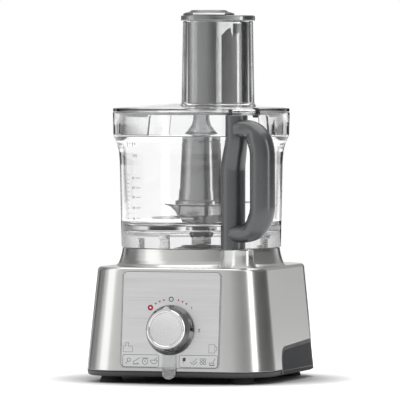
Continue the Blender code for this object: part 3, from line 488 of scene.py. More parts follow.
def bore(name, radius, bottom, top, centre=(0.0, 0.0), matrix=None, steps=SMALL):
    return turned(name, [(0, top), (radius, top), (radius, bottom), (0, bottom)], steps, centre, matrix)


def finish(piece, body, paint, slot, *nodes):
    """Gives a piece its material and its body, and hides the CAD nodes it stands for; the slot is not used.
    """
    piece.data.materials.clear()
    piece.data.materials.append(paint)
    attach(piece, body)
    if nodes:
        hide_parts(*nodes)
    return piece


# ---------------------------------------------------------------- materials


def shader(name, colour, roughness, metallic=0.0):
    made_material = bpy.data.materials.new(name)
    made_material.use_nodes = True
    principled = made_material.node_tree.nodes["Principled BSDF"]
    principled.inputs["Base Color"].default_value = (*colour, 1.0)
    principled.inputs["Roughness"].default_value = roughness
    principled.inputs["Metallic"].default_value = metallic
    return made_material, principled


def add_node(tree, kind, inputs, output, **settings):
    """The output of a new shader node, whose inputs are set or linked."""
    new = tree.nodes.new("ShaderNode" + kind)
    for key, value in settings.items():
        setattr(new, key, value)
    for key, value in inputs.items():
        if isinstance(value, bpy.types.NodeSocket):
            tree.links.new(value, new.inputs[key])
        else:
            new.inputs[key].default_value = value
    return new.outputs[output]


def noise(tree, scale, detail, stretch=(1.0, 1.0, 1.0), source="Object"):
    """A noise texture in the object's own space or its UV map; scale is in features per metre there."""
    where = add_node(tree, "TexCoord", {}, source)
    spot = add_node(tree, "Mapping", {"Vector": where, "Scale": stretch}, "Vector")
    return add_node(tree, "TexNoise", {"Vector": spot, "Scale": scale, "Detail": detail}, "Fac")


def ranged(tree, value, bottom, top, near=0.3, far=0.7):
    """From bottom to top as the value goes from near to far."""
    inputs = {"Value": value, "From Min": near, "From Max": far, "To Min": bottom, "To Max": top}
    return add_node(tree, "MapRange", inputs, "Result")


def vary_colour(tree, principled, value, colour, share):
    darker = (*[c * (1 - share) for c in colour], 1.0)
    lighter = (*[min(1.0, c * (1 + share)) for c in colour], 1.0)
    mixed = add_node(tree, "Mix", {"A": darker, "B": lighter, "Factor": value}, "Result", data_type="RGBA")
    tree.links.new(mixed, principled.inputs["Base Color"])


def bump(tree, principled, value, strength, distance):
    """Relief from a height value; the distance is in millimetres."""
    inputs = {"Strength": strength, "Distance": distance * MM, "Height": value}
    tree.links.new(add_node(tree, "Bump", inputs, "Normal"), principled.inputs["Normal"])


def moulded(name, colour, roughness, grain, relief, metallic=0.0, spread=0.05, share=0.06,
            specular=0.5, ior=1.5):
    """Moulded or painted plastic: fine grain in the relief, broad drifts in colour and gloss."""
    paint, principled = shader(name, colour, roughness, metallic)
    tree = paint.node_tree
    fine = noise(tree, grain, 2.0)
    broad = noise(tree, 22.0, 4.0)
    vary_colour(tree, principled, ranged(tree, broad, 0.0, 1.0), colour, share)
    gloss = ranged(tree, broad, roughness - spread, roughness + spread)
    tree.links.new(gloss, principled.inputs["Roughness"])
    bump(tree, principled, fine, relief, 0.05)
    principled.inputs["Specular IOR Level"].default_value = specular
    principled.inputs["IOR"].default_value = ior
    return paint


def brushed(name, colour, roughness, stretch, metallic, share, relief, source="Object"):
    """Metal with fine lines: the stretch squeezes the noise along one direction."""
    paint, principled = shader(name, colour, roughness, metallic)
    tree = paint.node_tree
    lines = noise(tree, 1.0, 4.0, stretch, source)
    vary_colour(tree, principled, ranged(tree, lines, 0.0, 1.0), colour, share)
    tree.links.new(ranged(tree, lines, roughness - 0.07, roughness + 0.1), principled.inputs["Roughness"])
    bump(tree, principled, lines, relief, 0.03)
    return paint


def clear(name, colour, absorb, density, roughness=0.03, weight=1.0):
    """Clear plastic whose long paths go grey, with a faint waviness from moulding."""
    paint, principled = shader(name, colour, roughness)
    tree = paint.node_tree
    principled.inputs["Transmission Weight"].default_value = weight
    principled.inputs["IOR"].default_value = 1.49
    broad = noise(tree, 16.0, 2.0)
    tree.links.new(ranged(tree, broad, roughness * 0.6, roughness * 1.6), principled.inputs["Roughness"])
    bump(tree, principled, broad, 0.05, 0.4)
    vary_colour(tree, principled, broad, colour, 0.015)
    volume = add_node(tree, "VolumeAbsorption", {"Color": (*absorb, 1.0), "Density": density}, "Volume")
    tree.links.new(volume, tree.nodes["Material Output"].inputs["Volume"])
    return paint


def ink(name, colour):
    """Printed ink, matt and a little uneven; also used for painted lines of shade and of highlight."""
    return moulded(name, colour, 0.5, 3000.0, 0.05, share=0.15)


def laminated(name, colour):
    """A stack of sheets, seen as level lines."""
    return brushed(name, colour, 0.45, (30.0, 30.0, 2000.0), 0.8, 0.3, 0.5)


SILVER = moulded("silver_paint", (0.6, 0.6, 0.59), 0.2, 3800.0, 0.012, 1.0, 0.015, 0.015)
PANEL = brushed("brushed_steel_panel", (0.64, 0.64, 0.645), 0.34, (14.0, 14.0, 2600.0), 1.0, 0.05, 0.12)
# The dial's skirt is the rim's chrome painted darker: a painted dark reflection of the floor beneath it.
CHROME_PAINTED_DARK = brushed("dial_skirt_chrome_painted_dark", (0.2, 0.2, 0.205), 0.07, (400.0, 400.0, 400.0), 1.0, 0.02, 0.01)
CHROME = brushed("dial_chrome", (0.72, 0.72, 0.72), 0.08, (400.0, 400.0, 400.0), 1.0, 0.02, 0.01)
PEARL = brushed("spun_pearl", (0.7, 0.7, 0.7), 0.28, (3.0, 1600.0, 1.0), 0.9, 0.03, 0.05, "UV")
CLEAR_BOWL = clear("clear_bowl", (0.99, 0.992, 0.992), (0.6, 0.61, 0.61), 1.2)
CLEAR_LID = clear("clear_lid", (0.985, 0.988, 0.988), (0.55, 0.56, 0.56), 5.0)
CLEAR_LENS = clear("clear_lens", (0.95, 0.955, 0.955), (0.7, 0.7, 0.7), 20.0, 0.1, 0.8)
SMOKE = clear("smoked_bell", (0.78, 0.79, 0.795), (0.5, 0.515, 0.52), 75.0, 0.07, 0.88)
GREY = moulded("handle_grey", (0.034, 0.036, 0.039), 0.24, 3000.0, 0.04, 0.0, 0.04, 0.06, 0.85, 1.55)
HUB = moulded("hub_grey", (0.06, 0.062, 0.064), 0.12, 2600.0, 0.012, 0.0, 0.02, 0.05, 1.0, 2.1)
PUSHER = moulded("pusher_grey", (0.055, 0.057, 0.059), 0.14, 2600.0, 0.012, 0.0, 0.02, 0.05, 1.0, 2.0)
CAP = moulded("cap_grey", (0.05, 0.052, 0.054), 0.25, 2600.0, 0.02, 0.0, 0.03, 0.05, 0.8, 1.7)
DARK = moulded("plinth_dark", (0.05, 0.051, 0.054), 0.42, 2400.0, 0.2)
SKIRT = moulded("skirt_satin", (0.03, 0.031, 0.033), 0.5, 2400.0, 0.06, 0.0, 0.03, 0.05, 0.06)
BLACK = moulded("black_plastic", (0.02, 0.02, 0.021), 0.42, 2400.0, 0.2)
GLOSS_BLACK = moulded("gloss_black", (0.02, 0.021, 0.022), 0.18, 2400.0, 0.03)
RUBBER = moulded("black_rubber", (0.018, 0.018, 0.018), 0.75, 1800.0, 0.35)
SEAL = moulded("seal_rubber", (0.42, 0.43, 0.43), 0.6, 1800.0, 0.2)
BLADE = brushed("blade_steel", (0.6, 0.6, 0.61), 0.22, (900.0, 60.0, 900.0), 1.0, 0.1, 0.15)
SHAFT_STEEL = brushed("shaft_steel", (0.6, 0.6, 0.6), 0.25, (60.0, 60.0, 1800.0), 1.0, 0.1, 0.2)
SCREW_STEEL = brushed("screw_steel", (0.55, 0.55, 0.55), 0.3, (300.0, 300.0, 300.0), 1.0, 0.15, 0.2)
CAST = moulded("pressed_aluminium", (0.55, 0.55, 0.56), 0.42, 900.0, 0.3, 0.9, 0.06, 0.1)
LAMINATION = laminated("varnished_stack", (0.25, 0.25, 0.26))
COPPER = brushed("enamelled_copper", (0.55, 0.22, 0.1), 0.35, (900.0, 900.0, 900.0), 0.9, 0.25, 0.6)
BRASS = moulded("sintered_bronze", (0.6, 0.42, 0.18), 0.45, 1500.0, 0.5, 0.9, 0.08, 0.15)
BOARD = moulded("circuit_board", (0.03, 0.16, 0.06), 0.4, 700.0, 0.3, 0.0, 0.05, 0.25)
INK = ink("dark_ink", (0.035, 0.035, 0.04))
SCALE_INK_AND_SHADE = ink("scale_ink_and_painted_shade", (0.2, 0.21, 0.22))
RED = ink("red_ink", (0.36, 0.012, 0.016))
PALE = ink("pale_ink_and_painted_highlight", (0.8, 0.8, 0.8))


# ---------------------------------------------------------------- camera, light and floor

LIGHT_AIM = 0.2  # metres above the floor
FLOOR_HALF = 3.0  # metres
# The floor is painted darker and glows less near the object, a painted contact shadow, and is white further
# out: values, and the metres over which they change.
FLOOR_GLOW, FLOOR_GLOW_RANGE = 0.37, (0.11, 0.21)
FLOOR_PAINTED_SHADOW, FLOOR_WHITE, FLOOR_WHITE_RANGE = 0.42, 0.93, (0.12, 0.19)


def studio():
    turn = math.radians(VIEW_ANGLE)
    right = Vector((math.cos(turn), math.sin(turn), 0.0))
    front = Vector((math.sin(turn), -math.cos(turn), 0.0))
    aim = right * VIEW_AIM[0] + Vector((0, 0, VIEW_AIM[1]))
    data = bpy.data.cameras.new("camera")
    data.lens = VIEW_LENS
    data.sensor_width = SENSOR
    data.clip_end = 100.0
    camera = placed("camera", data)
    camera.location = front * VIEW_DISTANCE + Vector((0, 0, VIEW_HEIGHT))
    camera.rotation_euler = (aim - camera.location).to_track_quat("-Z", "Y").to_euler()
    bpy.context.scene.camera = camera

    shape = bmesh.new()
    bmesh.ops.create_grid(shape, x_segments=1, y_segments=1, size=FLOOR_HALF)
    floor = placed("floor", mesh_of("floor", shape))
    pale = moulded("pale_floor", (FLOOR_WHITE,) * 3, 0.7, 300.0, 0.02, 0.0, 0.05, 0.005, specular=0.1)
    tree = pale.node_tree
    inputs = tree.nodes["Principled BSDF"].inputs
    inputs["Emission Color"].default_value = (1.0, 1.0, 1.0, 1.0)
    # Painted contact shadow: the floor's glow and its colour both fall off towards the object.
    where = add_node(tree, "TexCoord", {}, "Object")
    far_out = add_node(tree, "VectorMath", {0: where}, "Value", operation="LENGTH")
    tree.links.new(ranged(tree, far_out, 0.0, FLOOR_GLOW, *FLOOR_GLOW_RANGE), inputs["Emission Strength"])
    painted_shadow_and_white = {f"Color{i + 1}": (*[value] * 3, 1.0) for i, value in enumerate((FLOOR_PAINTED_SHADOW, FLOOR_WHITE))}
    whiter = ranged(tree, far_out, 0.0, 1.0, *FLOOR_WHITE_RANGE)
    tree.links.new(add_node(tree, "MixRGB", {"Fac": whiter, **painted_shadow_and_white}, "Color"), inputs["Base Color"])
    floor.data.materials.append(pale)

    def panel_light(name, angle, distance, height, size, power):
        """A soft box at this angle to the right of the camera's direction."""
        light = bpy.data.lights.new(name, "AREA")
        light.shape = "RECTANGLE"
        light.size, light.size_y = size
        light.energy = power
        lamp = placed(name, light)
        around = math.radians(VIEW_ANGLE + angle)
        lamp.location = (distance * math.sin(around), -distance * math.cos(around), height)
        lamp.rotation_euler = (Vector((0, 0, LIGHT_AIM)) - lamp.location).to_track_quat("-Z", "Y").to_euler()

    panel_light("key_strip", 56.0, 1.6, 0.5, (0.3, 1.5), 3.6)
    panel_light("top_box", 150.0, 0.25, 1.9, (2.2, 2.2), 22.0)
    panel_light("left_box", -76.0, 2.2, 0.9, (1.1, 1.8), 4.5)
    surroundings()
    bpy.context.scene.view_settings.view_transform = "Standard"


# Brightness of the studio round the object: degrees to the right of the camera, and half the brightness.
# The first list is for level looks and the second for steep ones.
ROUND_LIGHT = (
    (-180, 0.5), (-171, 0.5), (-168, 0.01), (-157, 0.01), (-154, 0.35), (-147, 0.35), (-144, 0.01),
    (-136, 0.01), (-131, 0.16), (-112, 0.14), (-100, 0.42), (-62, 0.44), (-44, 0.4), (-4, 0.34), (8, 0.25),
    (28, 0.14), (47, 0.14), (51, 0.65), (61, 0.65), (66, 0.14), (72, 0.03), (112, 0.03), (130, 0.09),
    (144, 0.38), (149, 0.4), (152, 0.01), (168, 0.01), (171, 0.5), (180, 0.5),
)
STEEP_LIGHT = (
    (-180, 0.2), (-150, 0.2), (-130, 0.13), (-112, 0.13), (-100, 0.48), (-62, 0.48), (-44, 0.4), (-4, 0.34),
    (8, 0.27), (28, 0.2), (45, 0.22), (50, 0.58), (61, 0.58), (67, 0.22), (74, 0.12), (132, 0.12),
    (141, 0.24), (151, 0.24), (160, 0.2), (180, 0.2),
)
# How high a look rises, as the upward part of its direction, while one light gives way to the next.
STEEP_RANGE, OVERHEAD_RANGE = (0.07, 0.2), (0.5, 0.85)
OVERHEAD_LIGHT = 0.9


def round_ramp(tree, share, values):
    ramp = tree.nodes.new("ShaderNodeValToRGB")
    stops = ramp.color_ramp.elements
    while len(stops) > 1:
        stops.remove(stops[-1])
    for i, (degrees, value) in enumerate(values):
        at = 0.5 + degrees / 360.0
        stop = stops[0] if i == 0 else stops.new(at)
        stop.position = at
        stop.color = (value, value, value, 1.0)
    tree.links.new(share, ramp.inputs["Fac"])
    return ramp.outputs["Color"]


def surroundings():
    """A soft studio with light and dark bands, and plain white where the camera sees it."""
    world = bpy.data.worlds.new("studio")
    world.use_nodes = True
    bpy.context.scene.world = world
    tree = world.node_tree
    tree.nodes.clear()
    where = add_node(tree, "TexCoord", {}, "Generated")
    x, y, z = (add_node(tree, "SeparateXYZ", {"Vector": where}, axis) for axis in "XYZ")

    def maths(operation, *values):
        return add_node(tree, "Math", dict(enumerate(values)), 0, operation=operation)

    camera_angle = math.radians(VIEW_ANGLE - 90.0)
    turn = maths("SUBTRACT", maths("ARCTAN2", y, x), camera_angle)
    share = maths("FRACT", maths("ADD", maths("DIVIDE", turn, 2 * math.pi), 1.5))

    def blend(first, second, start, end):
        """From the first value to the second as the look rises between these heights."""
        rise = ranged(tree, z, 0.0, 1.0, start, end)
        rest = maths("MULTIPLY", first, maths("SUBTRACT", 1.0, rise))
        return maths("ADD", rest, maths("MULTIPLY", rise, second))

    level, steep = (round_ramp(tree, share, values) for values in (ROUND_LIGHT, STEEP_LIGHT))
    around = maths("MULTIPLY", blend(level, steep, *STEEP_RANGE), 2.0)
    light = blend(around, OVERHEAD_LIGHT, *OVERHEAD_RANGE)
    seen = add_node(tree, "LightPath", {}, "Is Camera Ray")
    total = maths("ADD", maths("MULTIPLY", light, maths("SUBTRACT", 1.0, seen)), seen)
    background = add_node(tree, "Background", {"Color": total}, "Background")
    output = tree.nodes.new("ShaderNodeOutputWorld")
    tree.links.new(background, output.inputs["Surface"])


# ---------------------------------------------------------------- base


def rear_skirt_block(name, grow, edge=REAR_SKIRT_EDGE):
    """A block across the whole width, with the side outline of the rear skirt or of a part of it."""
    lean = Matrix(((0, 0, 1, 0), (1, 0, 0, 0), (0, 1, 0, 0), (0, 0, 0, 1)))
    outline = [(y - grow, z + grow if z > 10 else z, 6.0) for y, z in edge]
    return slab(name, [softened(outline, 6.0)], -130, 130, lean)


def panel_outline(grow):
    half = (PANEL_Z[1] - PANEL_Z[0]) / 2 / math.cos(FRONT_TILT)
    return rounded_rectangle(PANEL_HALF_WIDTH + grow, half + grow, PANEL_CORNER + grow, 10)


PANEL_FRAME = front_frame(sum(PANEL_Z) / 2)
ROD_PLACE, ROD_BORE = place(SPINE_ANGLE, 102.0), 3.0  # the interlock rod in the handle's spine


def housing():
    low_edge, edge = HOUSING_BOTTOM + 0.6, 4.0
    sections = [(base_plan(HOUSING_BOTTOM, 0.5), HOUSING_BOTTOM), (base_plan(low_edge), low_edge)]
    for i in range(5):
        z = low_edge + (DECK - edge - low_edge) * (i + 1) / 5
        sections.append((base_plan(z), z))
    for i in range(1, 9):
        turn = math.radians(90 * i / 8)
        z = DECK - edge + edge * math.sin(turn)
        sections.append((base_plan(z, 2.8 * (1 - math.cos(turn))), z))
    body = lofted("housing", sections)
    flare = [
        (0, COLLAR_TOP), (86.5, COLLAR_TOP, 1.2), (86.9, 141.5, 6), (87.8, 137.0, 8), (89.2, 132.0, 8),
        (90.9, 128.2, 4), (93.3, 125.6, 1), (93.3, 122.0, 0), (0, 122.0, 0),
    ]
    drum = turned("drum", softened(flare))
    spine = place(SPINE_ANGLE, SPINE_LOW)
    towards = (Vector(GRIP_PLACE) - spine).normalized()
    first, second = spine + towards * 2.5, spine + towards * 13.0
    sections, root, flare_height = [], 123.5, 16.0
    for i in range(15):
        z = root + (COLLAR_TOP - 0.8 - root) * i / 14
        spread = 5.0 * max(0.0, 1 - (z - root) / flare_height) ** 2.2
        sections.append((stadium(first, second, SPINE_RADIUS + spread), z))
    sections.append((stadium(first, second, SPINE_RADIUS - 0.9), COLLAR_TOP))
    join(body, drum, lofted("fairing", sections))
    levels = (HOUSING_BOTTOM - 2, DECK - 3)
    cut(
        body,
        bore("drum_inside", 83.5, 118, COLLAR_TOP - 2.7, steps=FINE),
        lofted("inside", [(base_plan(z, HOUSING_WALL), z) for z in levels]),
        bore("boss_hole", 24.0, 138, 150, steps=MEDIUM),
        bore("plunger_hole", ROD_BORE, 110, 150, ROD_PLACE, steps=24),
        bore("dial_hole", 4.2, -12, 5, matrix=front_frame(DIAL_Z)),
        slab("panel_recess", [panel_outline(0.45)], -1.2, 6.0, PANEL_FRAME),
        rear_skirt_block("rear_cut", 0.0),
        block("lens_notch", (-8.3, -8, -7), (8.3, 9, 4), matrix=front_frame(HOUSING_BOTTOM)),
    )
    even_normals(body)
    finish(body, "base", SILVER, "silver_housing", "base_housing")
    drive_boss()
    lugs()


def drive_boss():
    """The dark dome on the deck round the spindle, stepped where the bowl's neck seats."""
    profile = [
        (12.5, 152.0, 0.3), (21.5, 152.0, 1.2), (23.0, 150.4, 1.0), (29.0, 149.4, 1.5), (35.0, 146.6, 2.0),
        (37.2, 145.4, 0.3), (24.2, 145.3, 0.2), (23.7, 142.6, 0.2), (19.5, 142.6, 0.2), (19.5, 149.0, 0.3),
        (12.5, 149.0, 0.2),
    ]
    boss = turned("drive_boss", softened(profile, 0.3), MEDIUM)
    finish(boss, "base", GLOSS_BLACK, "black_plastic")


def lugs():
    """The four hooks on the deck that the bowl's foot twists under."""
    parts = []
    for i in range(4):
        turn = Matrix.Rotation(math.radians(LUG_ANGLE + 90 * i), 4, "Z")
        post = block(f"lug_{i}", (-5.5, -80.0, 145.3), (5.5, -76.5, 161.0), 0.7, turn)
        lip = block(f"lug_lip_{i}", (-4.8, -83.0, 156.0), (4.8, -79.0, 160.4), 0.6, turn)
        gusset = block(f"lug_foot_{i}", (-8.0, -77.0, 145.3), (3.0, -73.5, 149.5), 0.7, turn)
        parts.append(join(post, lip, gusset))
    finish(merged("bowl_lugs", parts), "base", SHAFT_STEEL, "shaft_steel")


def plinth():
    """The dark bottom cover with its rear skirt, vents, screw holes and gland hole."""
    rings = []
    for i in range(7):
        turn = math.radians(90 * i / 6)
        inset = 1.0 + 3.5 * (1 - math.sin(turn))
        rings.append((base_plan(HOUSING_BOTTOM, inset), 7.5 + 3.5 * (1 - math.cos(turn))))
    rings.append((base_plan(HOUSING_BOTTOM, 0.6), HOUSING_BOTTOM - 0.9))
    rings.append((base_plan(HOUSING_BOTTOM, 1.6), HOUSING_BOTTOM - 0.3))
    body = lofted("plinth", rings)
    pocket = base_plan(HOUSING_BOTTOM, 7.5)
    cut(body, lofted("pocket", [(pocket, 10.5), (pocket, 20.0)]))
    join(body, skirt_shell("skirt", REAR_SKIRT_INSET, PLINTH_WALL, -0.3, REAR_SKIRT_EDGE))
    holes = []
    for i in range(VENTS):
        x = VENT_START + i * VENT_PITCH
        holes.append(block(f"vent_{i}", (x - 1.6, 105, 18), (x + 1.6, 140, 38), 0.8))
    for number in range(1, 5):
        centre = middle(f"base_screw_{number}")
        holes.append(bore(f"screw_hole_{number}", 3.6, 5, 14, centre.xy, steps=24))
    holes.append(bore("gland_hole", 6.4, -30, 30, matrix=gland_frame(120.0)))
    room = arc(0.0, -1.0, 8.0, 180, 360, 16) + [(8.0, 9.0), (-8.0, 9.0)]
    holes.append(slab("lens_room", [room], -4.0, 9.0, front_frame(HOUSING_BOTTOM)))
    cut(body, *holes)
    even_normals(body)
    finish(body, "base", DARK, "plinth_dark", "base_plinth")
    inner_edge = [(-43.5, 4.0), (-41.5, 25.0), (-37.5, 31.0), (-30.0, 34.5), (145.0, 41.5), (145.0, 4.0)]
    border = skirt_shell("skirt_border", REAR_SKIRT_INSET - 0.5, 0.9, -0.3, REAR_SKIRT_EDGE)
    cut(border, rear_skirt_block("border_inside", 0.0, inner_edge))
    finish(border, "base", BLACK, "plinth_dark")
    face = skirt_shell("skirt_face", REAR_SKIRT_INSET - 0.3, 0.7, -0.2, inner_edge)
    finish(face, "base", SKIRT, "plinth_dark")


def skirt_shell(name, inset, wall, grow, edge):
    """A wall that follows the base's sides, kept inside the rear skirt's side outline."""
    shell = lofted(name, [(base_plan(z, inset), z) for z in (9.0, 50.0)])
    cut(shell, lofted(name + "_inside", [(base_plan(z, inset + wall), z) for z in (6.0, 55.0)]))
    return keep_inside(shell, rear_skirt_block(name + "_block", grow, edge))


def feet():
    profile = [
        (0, 7.2), (10.5, 7.2, 0.5), (12.9, 1.4, 0.6), (12.4, 0.25, 0.5), (11.2, 0.0, 0.3), (8.6, 0.0, 0.2),
        (8.2, 0.7, 0.2), (0, 0.7),
    ]
    for end in ("front", "rear"):
        for side in ("left", "right"):
            node = f"foot_{end}_{side}"
            foot = turned(f"rubber_{node}", softened(profile), SMALL, middle(node).xy)
            finish(foot, "base", RUBBER, "foot_rubber", node)


def screws():
    """Cross-recessed heads, sunk in the plinth."""
    for number in range(1, 5):
        node = f"base_screw_{number}"
        centre = middle(node).xy
        profile = [
            (0, 20), (1.6, 20, 0.3), (1.6, 10.6, 0.1), (3.2, 10.6, 0.2), (3.2, 9.3, 0.5), (1.8, 8.6, 0.6),
            (0, 8.6),
        ]
        screw = turned(f"screw_{number}", softened(profile), 32, centre)
        for turn in (0, 90):
            lay = Matrix.Translation(Vector((*centre, 0)) * MM) @ Matrix.Rotation(math.radians(turn), 4, "Z")
            cut(screw, block("cross", (-1.7, -0.35, 8.0), (1.7, 0.35, 9.7), matrix=lay))
        finish(screw, "base", SCREW_STEEL, "screw_steel", node)


def gland_frame(depth):
    """A frame on the gland's axis, this far to the back: z points to the back."""
    centre = middle("cord_gland")
    found = Matrix(((1, 0, 0, 0), (0, 0, 1, 0), (0, -1, 0, 0), (0, 0, 0, 1)))
    found.translation = Vector((centre.x, depth, centre.z)) * MM
    return found


def gland():
    profile = [
        (8.4, 0.0, 0.6), (8.4, -1.8, 0.4), (6.0, -1.8, 0.1), (6.0, -9.0, 0.5), (3.9, -9.0, 0.4),
        (3.9, 0.0, 0.8),
    ]
    at = gland_frame(high("cord_gland").y)
    ring = turned("gland_bush", softened(profile, 0.3), SMALL, matrix=at)
    finish(ring, "base", RUBBER, "black_rubber", "cord_gland")


# ---------------------------------------------------------------- panel, marks and dial


def panel():
    hole_shift = (DIAL_Z - sum(PANEL_Z) / 2) / math.cos(FRONT_TILT)
    hole = [(x, y + hole_shift) for x, y in circle(0, 0, 4.2)]
    plate = slab("panel_plate", [panel_outline(0.0), hole], -0.9, PANEL_FACE, PANEL_FRAME, 0.12)
    even_normals(plate)
    finish(plate, "base", PANEL, "brushed_panel", "control_panel")
    # A dark line just inside the panel's edge: partly a printed line, partly painted shade of the gap round
    # the panel.
    line = [panel_outline(-0.5), panel_outline(-1.05)]
    outline = slab("panel_ink_and_gap_shade", line, PANEL_FACE, PANEL_FACE + INK_HEIGHT, PANEL_FRAME)
    finish(outline, "base", INK, "brushed_panel")


def ribbon(path, width, closed=False):
    """The outline of a flat line of this width along a path."""
    points = [Vector(p) for p in path]
    total = len(points)
    left, right = [], []
    for i, here in enumerate(points):
        before = points[i - 1] if closed or i > 0 else here
        after = points[(i + 1) % total] if closed or i < total - 1 else here
        first, last = here - before, after - here
        if first.length and last.length:
            first, last = first.normalized(), last.normalized()
        way = (first + last).normalized()
        side = Vector((-way.y, way.x)) * width / 2
        left.append(tuple(here + side))
        right.append(tuple(here - side))
    if closed:
        return [left, right]
    return [left + right[::-1]]


def stamped(name, frame_at, shapes, height=INK_HEIGHT, lift=0.0):
    """Flat shapes of ink on the panel, as one piece."""
    span = (PANEL_FACE + lift, PANEL_FACE + lift + height)
    return merged(name, [slab(f"{name}_{i}", shape, *span, frame_at) for i, shape in enumerate(shapes)])


def printed(name, frame_at, strokes):
    """Lines of ink, each given as a path, a width and whether it closes."""
    return stamped(name, frame_at, [ribbon(*stroke) for stroke in strokes])


def dots(name, angles, radius, paint, height=INK_HEIGHT, lift=0.0):
    """Round dots at these angles round the dial."""
    shapes = [[circle(*around_dial(angle), radius, 20)] for angle in angles]
    finish(stamped(name, front_frame(DIAL_Z), shapes, height, lift), "base", paint, "brushed_panel")


def around_dial(degrees, radius=MARK_RADIUS):
    turn = math.radians(degrees)
    return (radius * math.sin(turn), radius * math.cos(turn))


def shifted(path, x, y, size):
    return [(x + px * size, y + py * size) for px, py in path]


def marks():
    """The marks round the dial, and the icons at the foot of the panel: all generic."""
    dots("pulse_disc", [-44], 3.2, RED)
    dots("pulse_dot", [-44], 1.0, PALE, 0.03, INK_HEIGHT)
    dots("pulse_steps", [-31.3, -22.7, -14.3], STEP_RADIUS, RED)
    dots("speed_steps", [14.3, 22.7], STEP_RADIUS, RED)
    x, y = around_dial(0)
    strokes = [(circle(x, y, 2.3, 28), 0.95, True)]
    x, y = around_dial(44)
    strokes.append(([(x - 0.6, y + 0.8), (x + 0.25, y + 1.3), (x + 0.25, y - 1.3)], 0.75, False))
    x, y = around_dial(90, MARK_RADIUS - 1.1)
    two = arc(x, y + 0.6, 0.85, 165, -35, 8) + [(x - 0.8, y - 1.5), (x + 1.1, y - 1.5)]
    strokes.append((two, 0.75, False))
    finish(printed("dial_marks", front_frame(DIAL_Z), strokes), "base", INK, "brushed_panel")
    dots("dark_step", [31.3], STEP_RADIUS, INK)
    icons()


# Line drawings for the panel, in their own small units.
WHISK = [[(-1.6, -2.2), (0.2, -0.6)], arc(1.0, 0.6, 1.3, 0, 350, 12)]
DISH = [arc(0.0, 0.6, 2.6, 185, 355, 12), [(-2.6, 0.5), (2.6, 0.5)], [(0.4, 0.8), (2.4, 2.6)]]
DISC = [[(-2.6, 2.0), (2.6, 2.0)], arc(0.0, -0.5, 2.1, 0, 350, 14), [(-0.9, 0.0), (0.9, -0.9)]]
GRATER = [[(-2.6, -1.0), (2.6, 2.2)], arc(-0.4, -0.6, 1.9, 200, 340, 8), [(-2.4, -2.4), (2.2, -2.4)]]
CARROT = [
    [(-0.9, 2.4), (-1.1, 0.0), (0.0, -2.6), (1.1, 0.0), (0.9, 2.4), (-0.9, 2.4)], [(-0.6, 0.6), (0.6, 0.6)],
]
BOWL_TICK = [arc(0.0, 0.4, 2.4, 190, 350, 10), [(-0.9, 0.4), (0.0, -0.8), (2.2, 2.2)]]
GRID = [arc(cx, cy, 1.0, 0, 350, 10) for cx in (-1.2, 1.2) for cy in (-1.2, 1.2)]
LADLE = [
    arc(-0.6, -0.9, 1.7, 180, 360, 8), [(-2.3, -0.9), (1.1, -0.9)], [(0.6, -0.4), (2.0, 2.4)],
    [(-2.4, -2.7), (2.0, -2.7)],
]


def icons():
    """Two framed rows of drawings, and one drawing above each row."""
    strokes, row = [], 11.4
    for half, centre, drawings in (
        (20.4, -32.6, (WHISK, GRATER, DISC, DISH)),
        (21.6, 32.6, (CARROT, BOWL_TICK, GRID, LADLE)),
    ):
        strokes.append((rounded_rectangle(half, 6.6, 2.0, 4, (centre, row)), 0.45, True))
        for number, drawing in enumerate(drawings):
            x = centre + (number - 1.5) * half * 0.49
            for path in drawing:
                strokes.append((shifted(path, x, row, 1.5), 0.5, False))
    jug = [(-2.6, -3.6), (-2.6, 3.4), (2.6, 3.4), (2.6, -3.6)]
    jug_grip = arc(2.6, 0.0, 1.9, 80, -80, 8)
    machine = [
        (-4.0, -3.6), (-4.0, 1.0), (-2.2, 1.0), (-2.2, 4.2), (0.4, 4.2), (0.4, 1.0), (4.0, 1.0), (4.0, -3.6),
    ]
    for drawing, x, closed in ((jug, 47.5, True), (jug_grip, 47.5, False), (machine, -47.5, True)):
        strokes.append((shifted(drawing, x, 25.5, 1.3), 0.42, closed))
    finish(printed("panel_icons", front_frame(HOUSING_BOTTOM), strokes), "base", INK, "brushed_panel")


def lens():
    """The clear tongue at the foot of the panel."""
    at = front_frame(HOUSING_BOTTOM)
    half, top = LENS_HALF_WIDTH, LENS_TOP
    outline = arc(0.0, -1.0, half, 180, 360, 20) + [(half, top), (-half, top)]
    tongue = slab("lens_tongue", [outline], 0.7, 2.4, at, 0.5)
    join(tongue, block("lens_root", (1 - half, -5.0, -2.0), (half - 1, 2.4, 1.2), 0.3, at))
    finish(tongue, "base", CLEAR_LENS, "clear_lens", "status_lens")


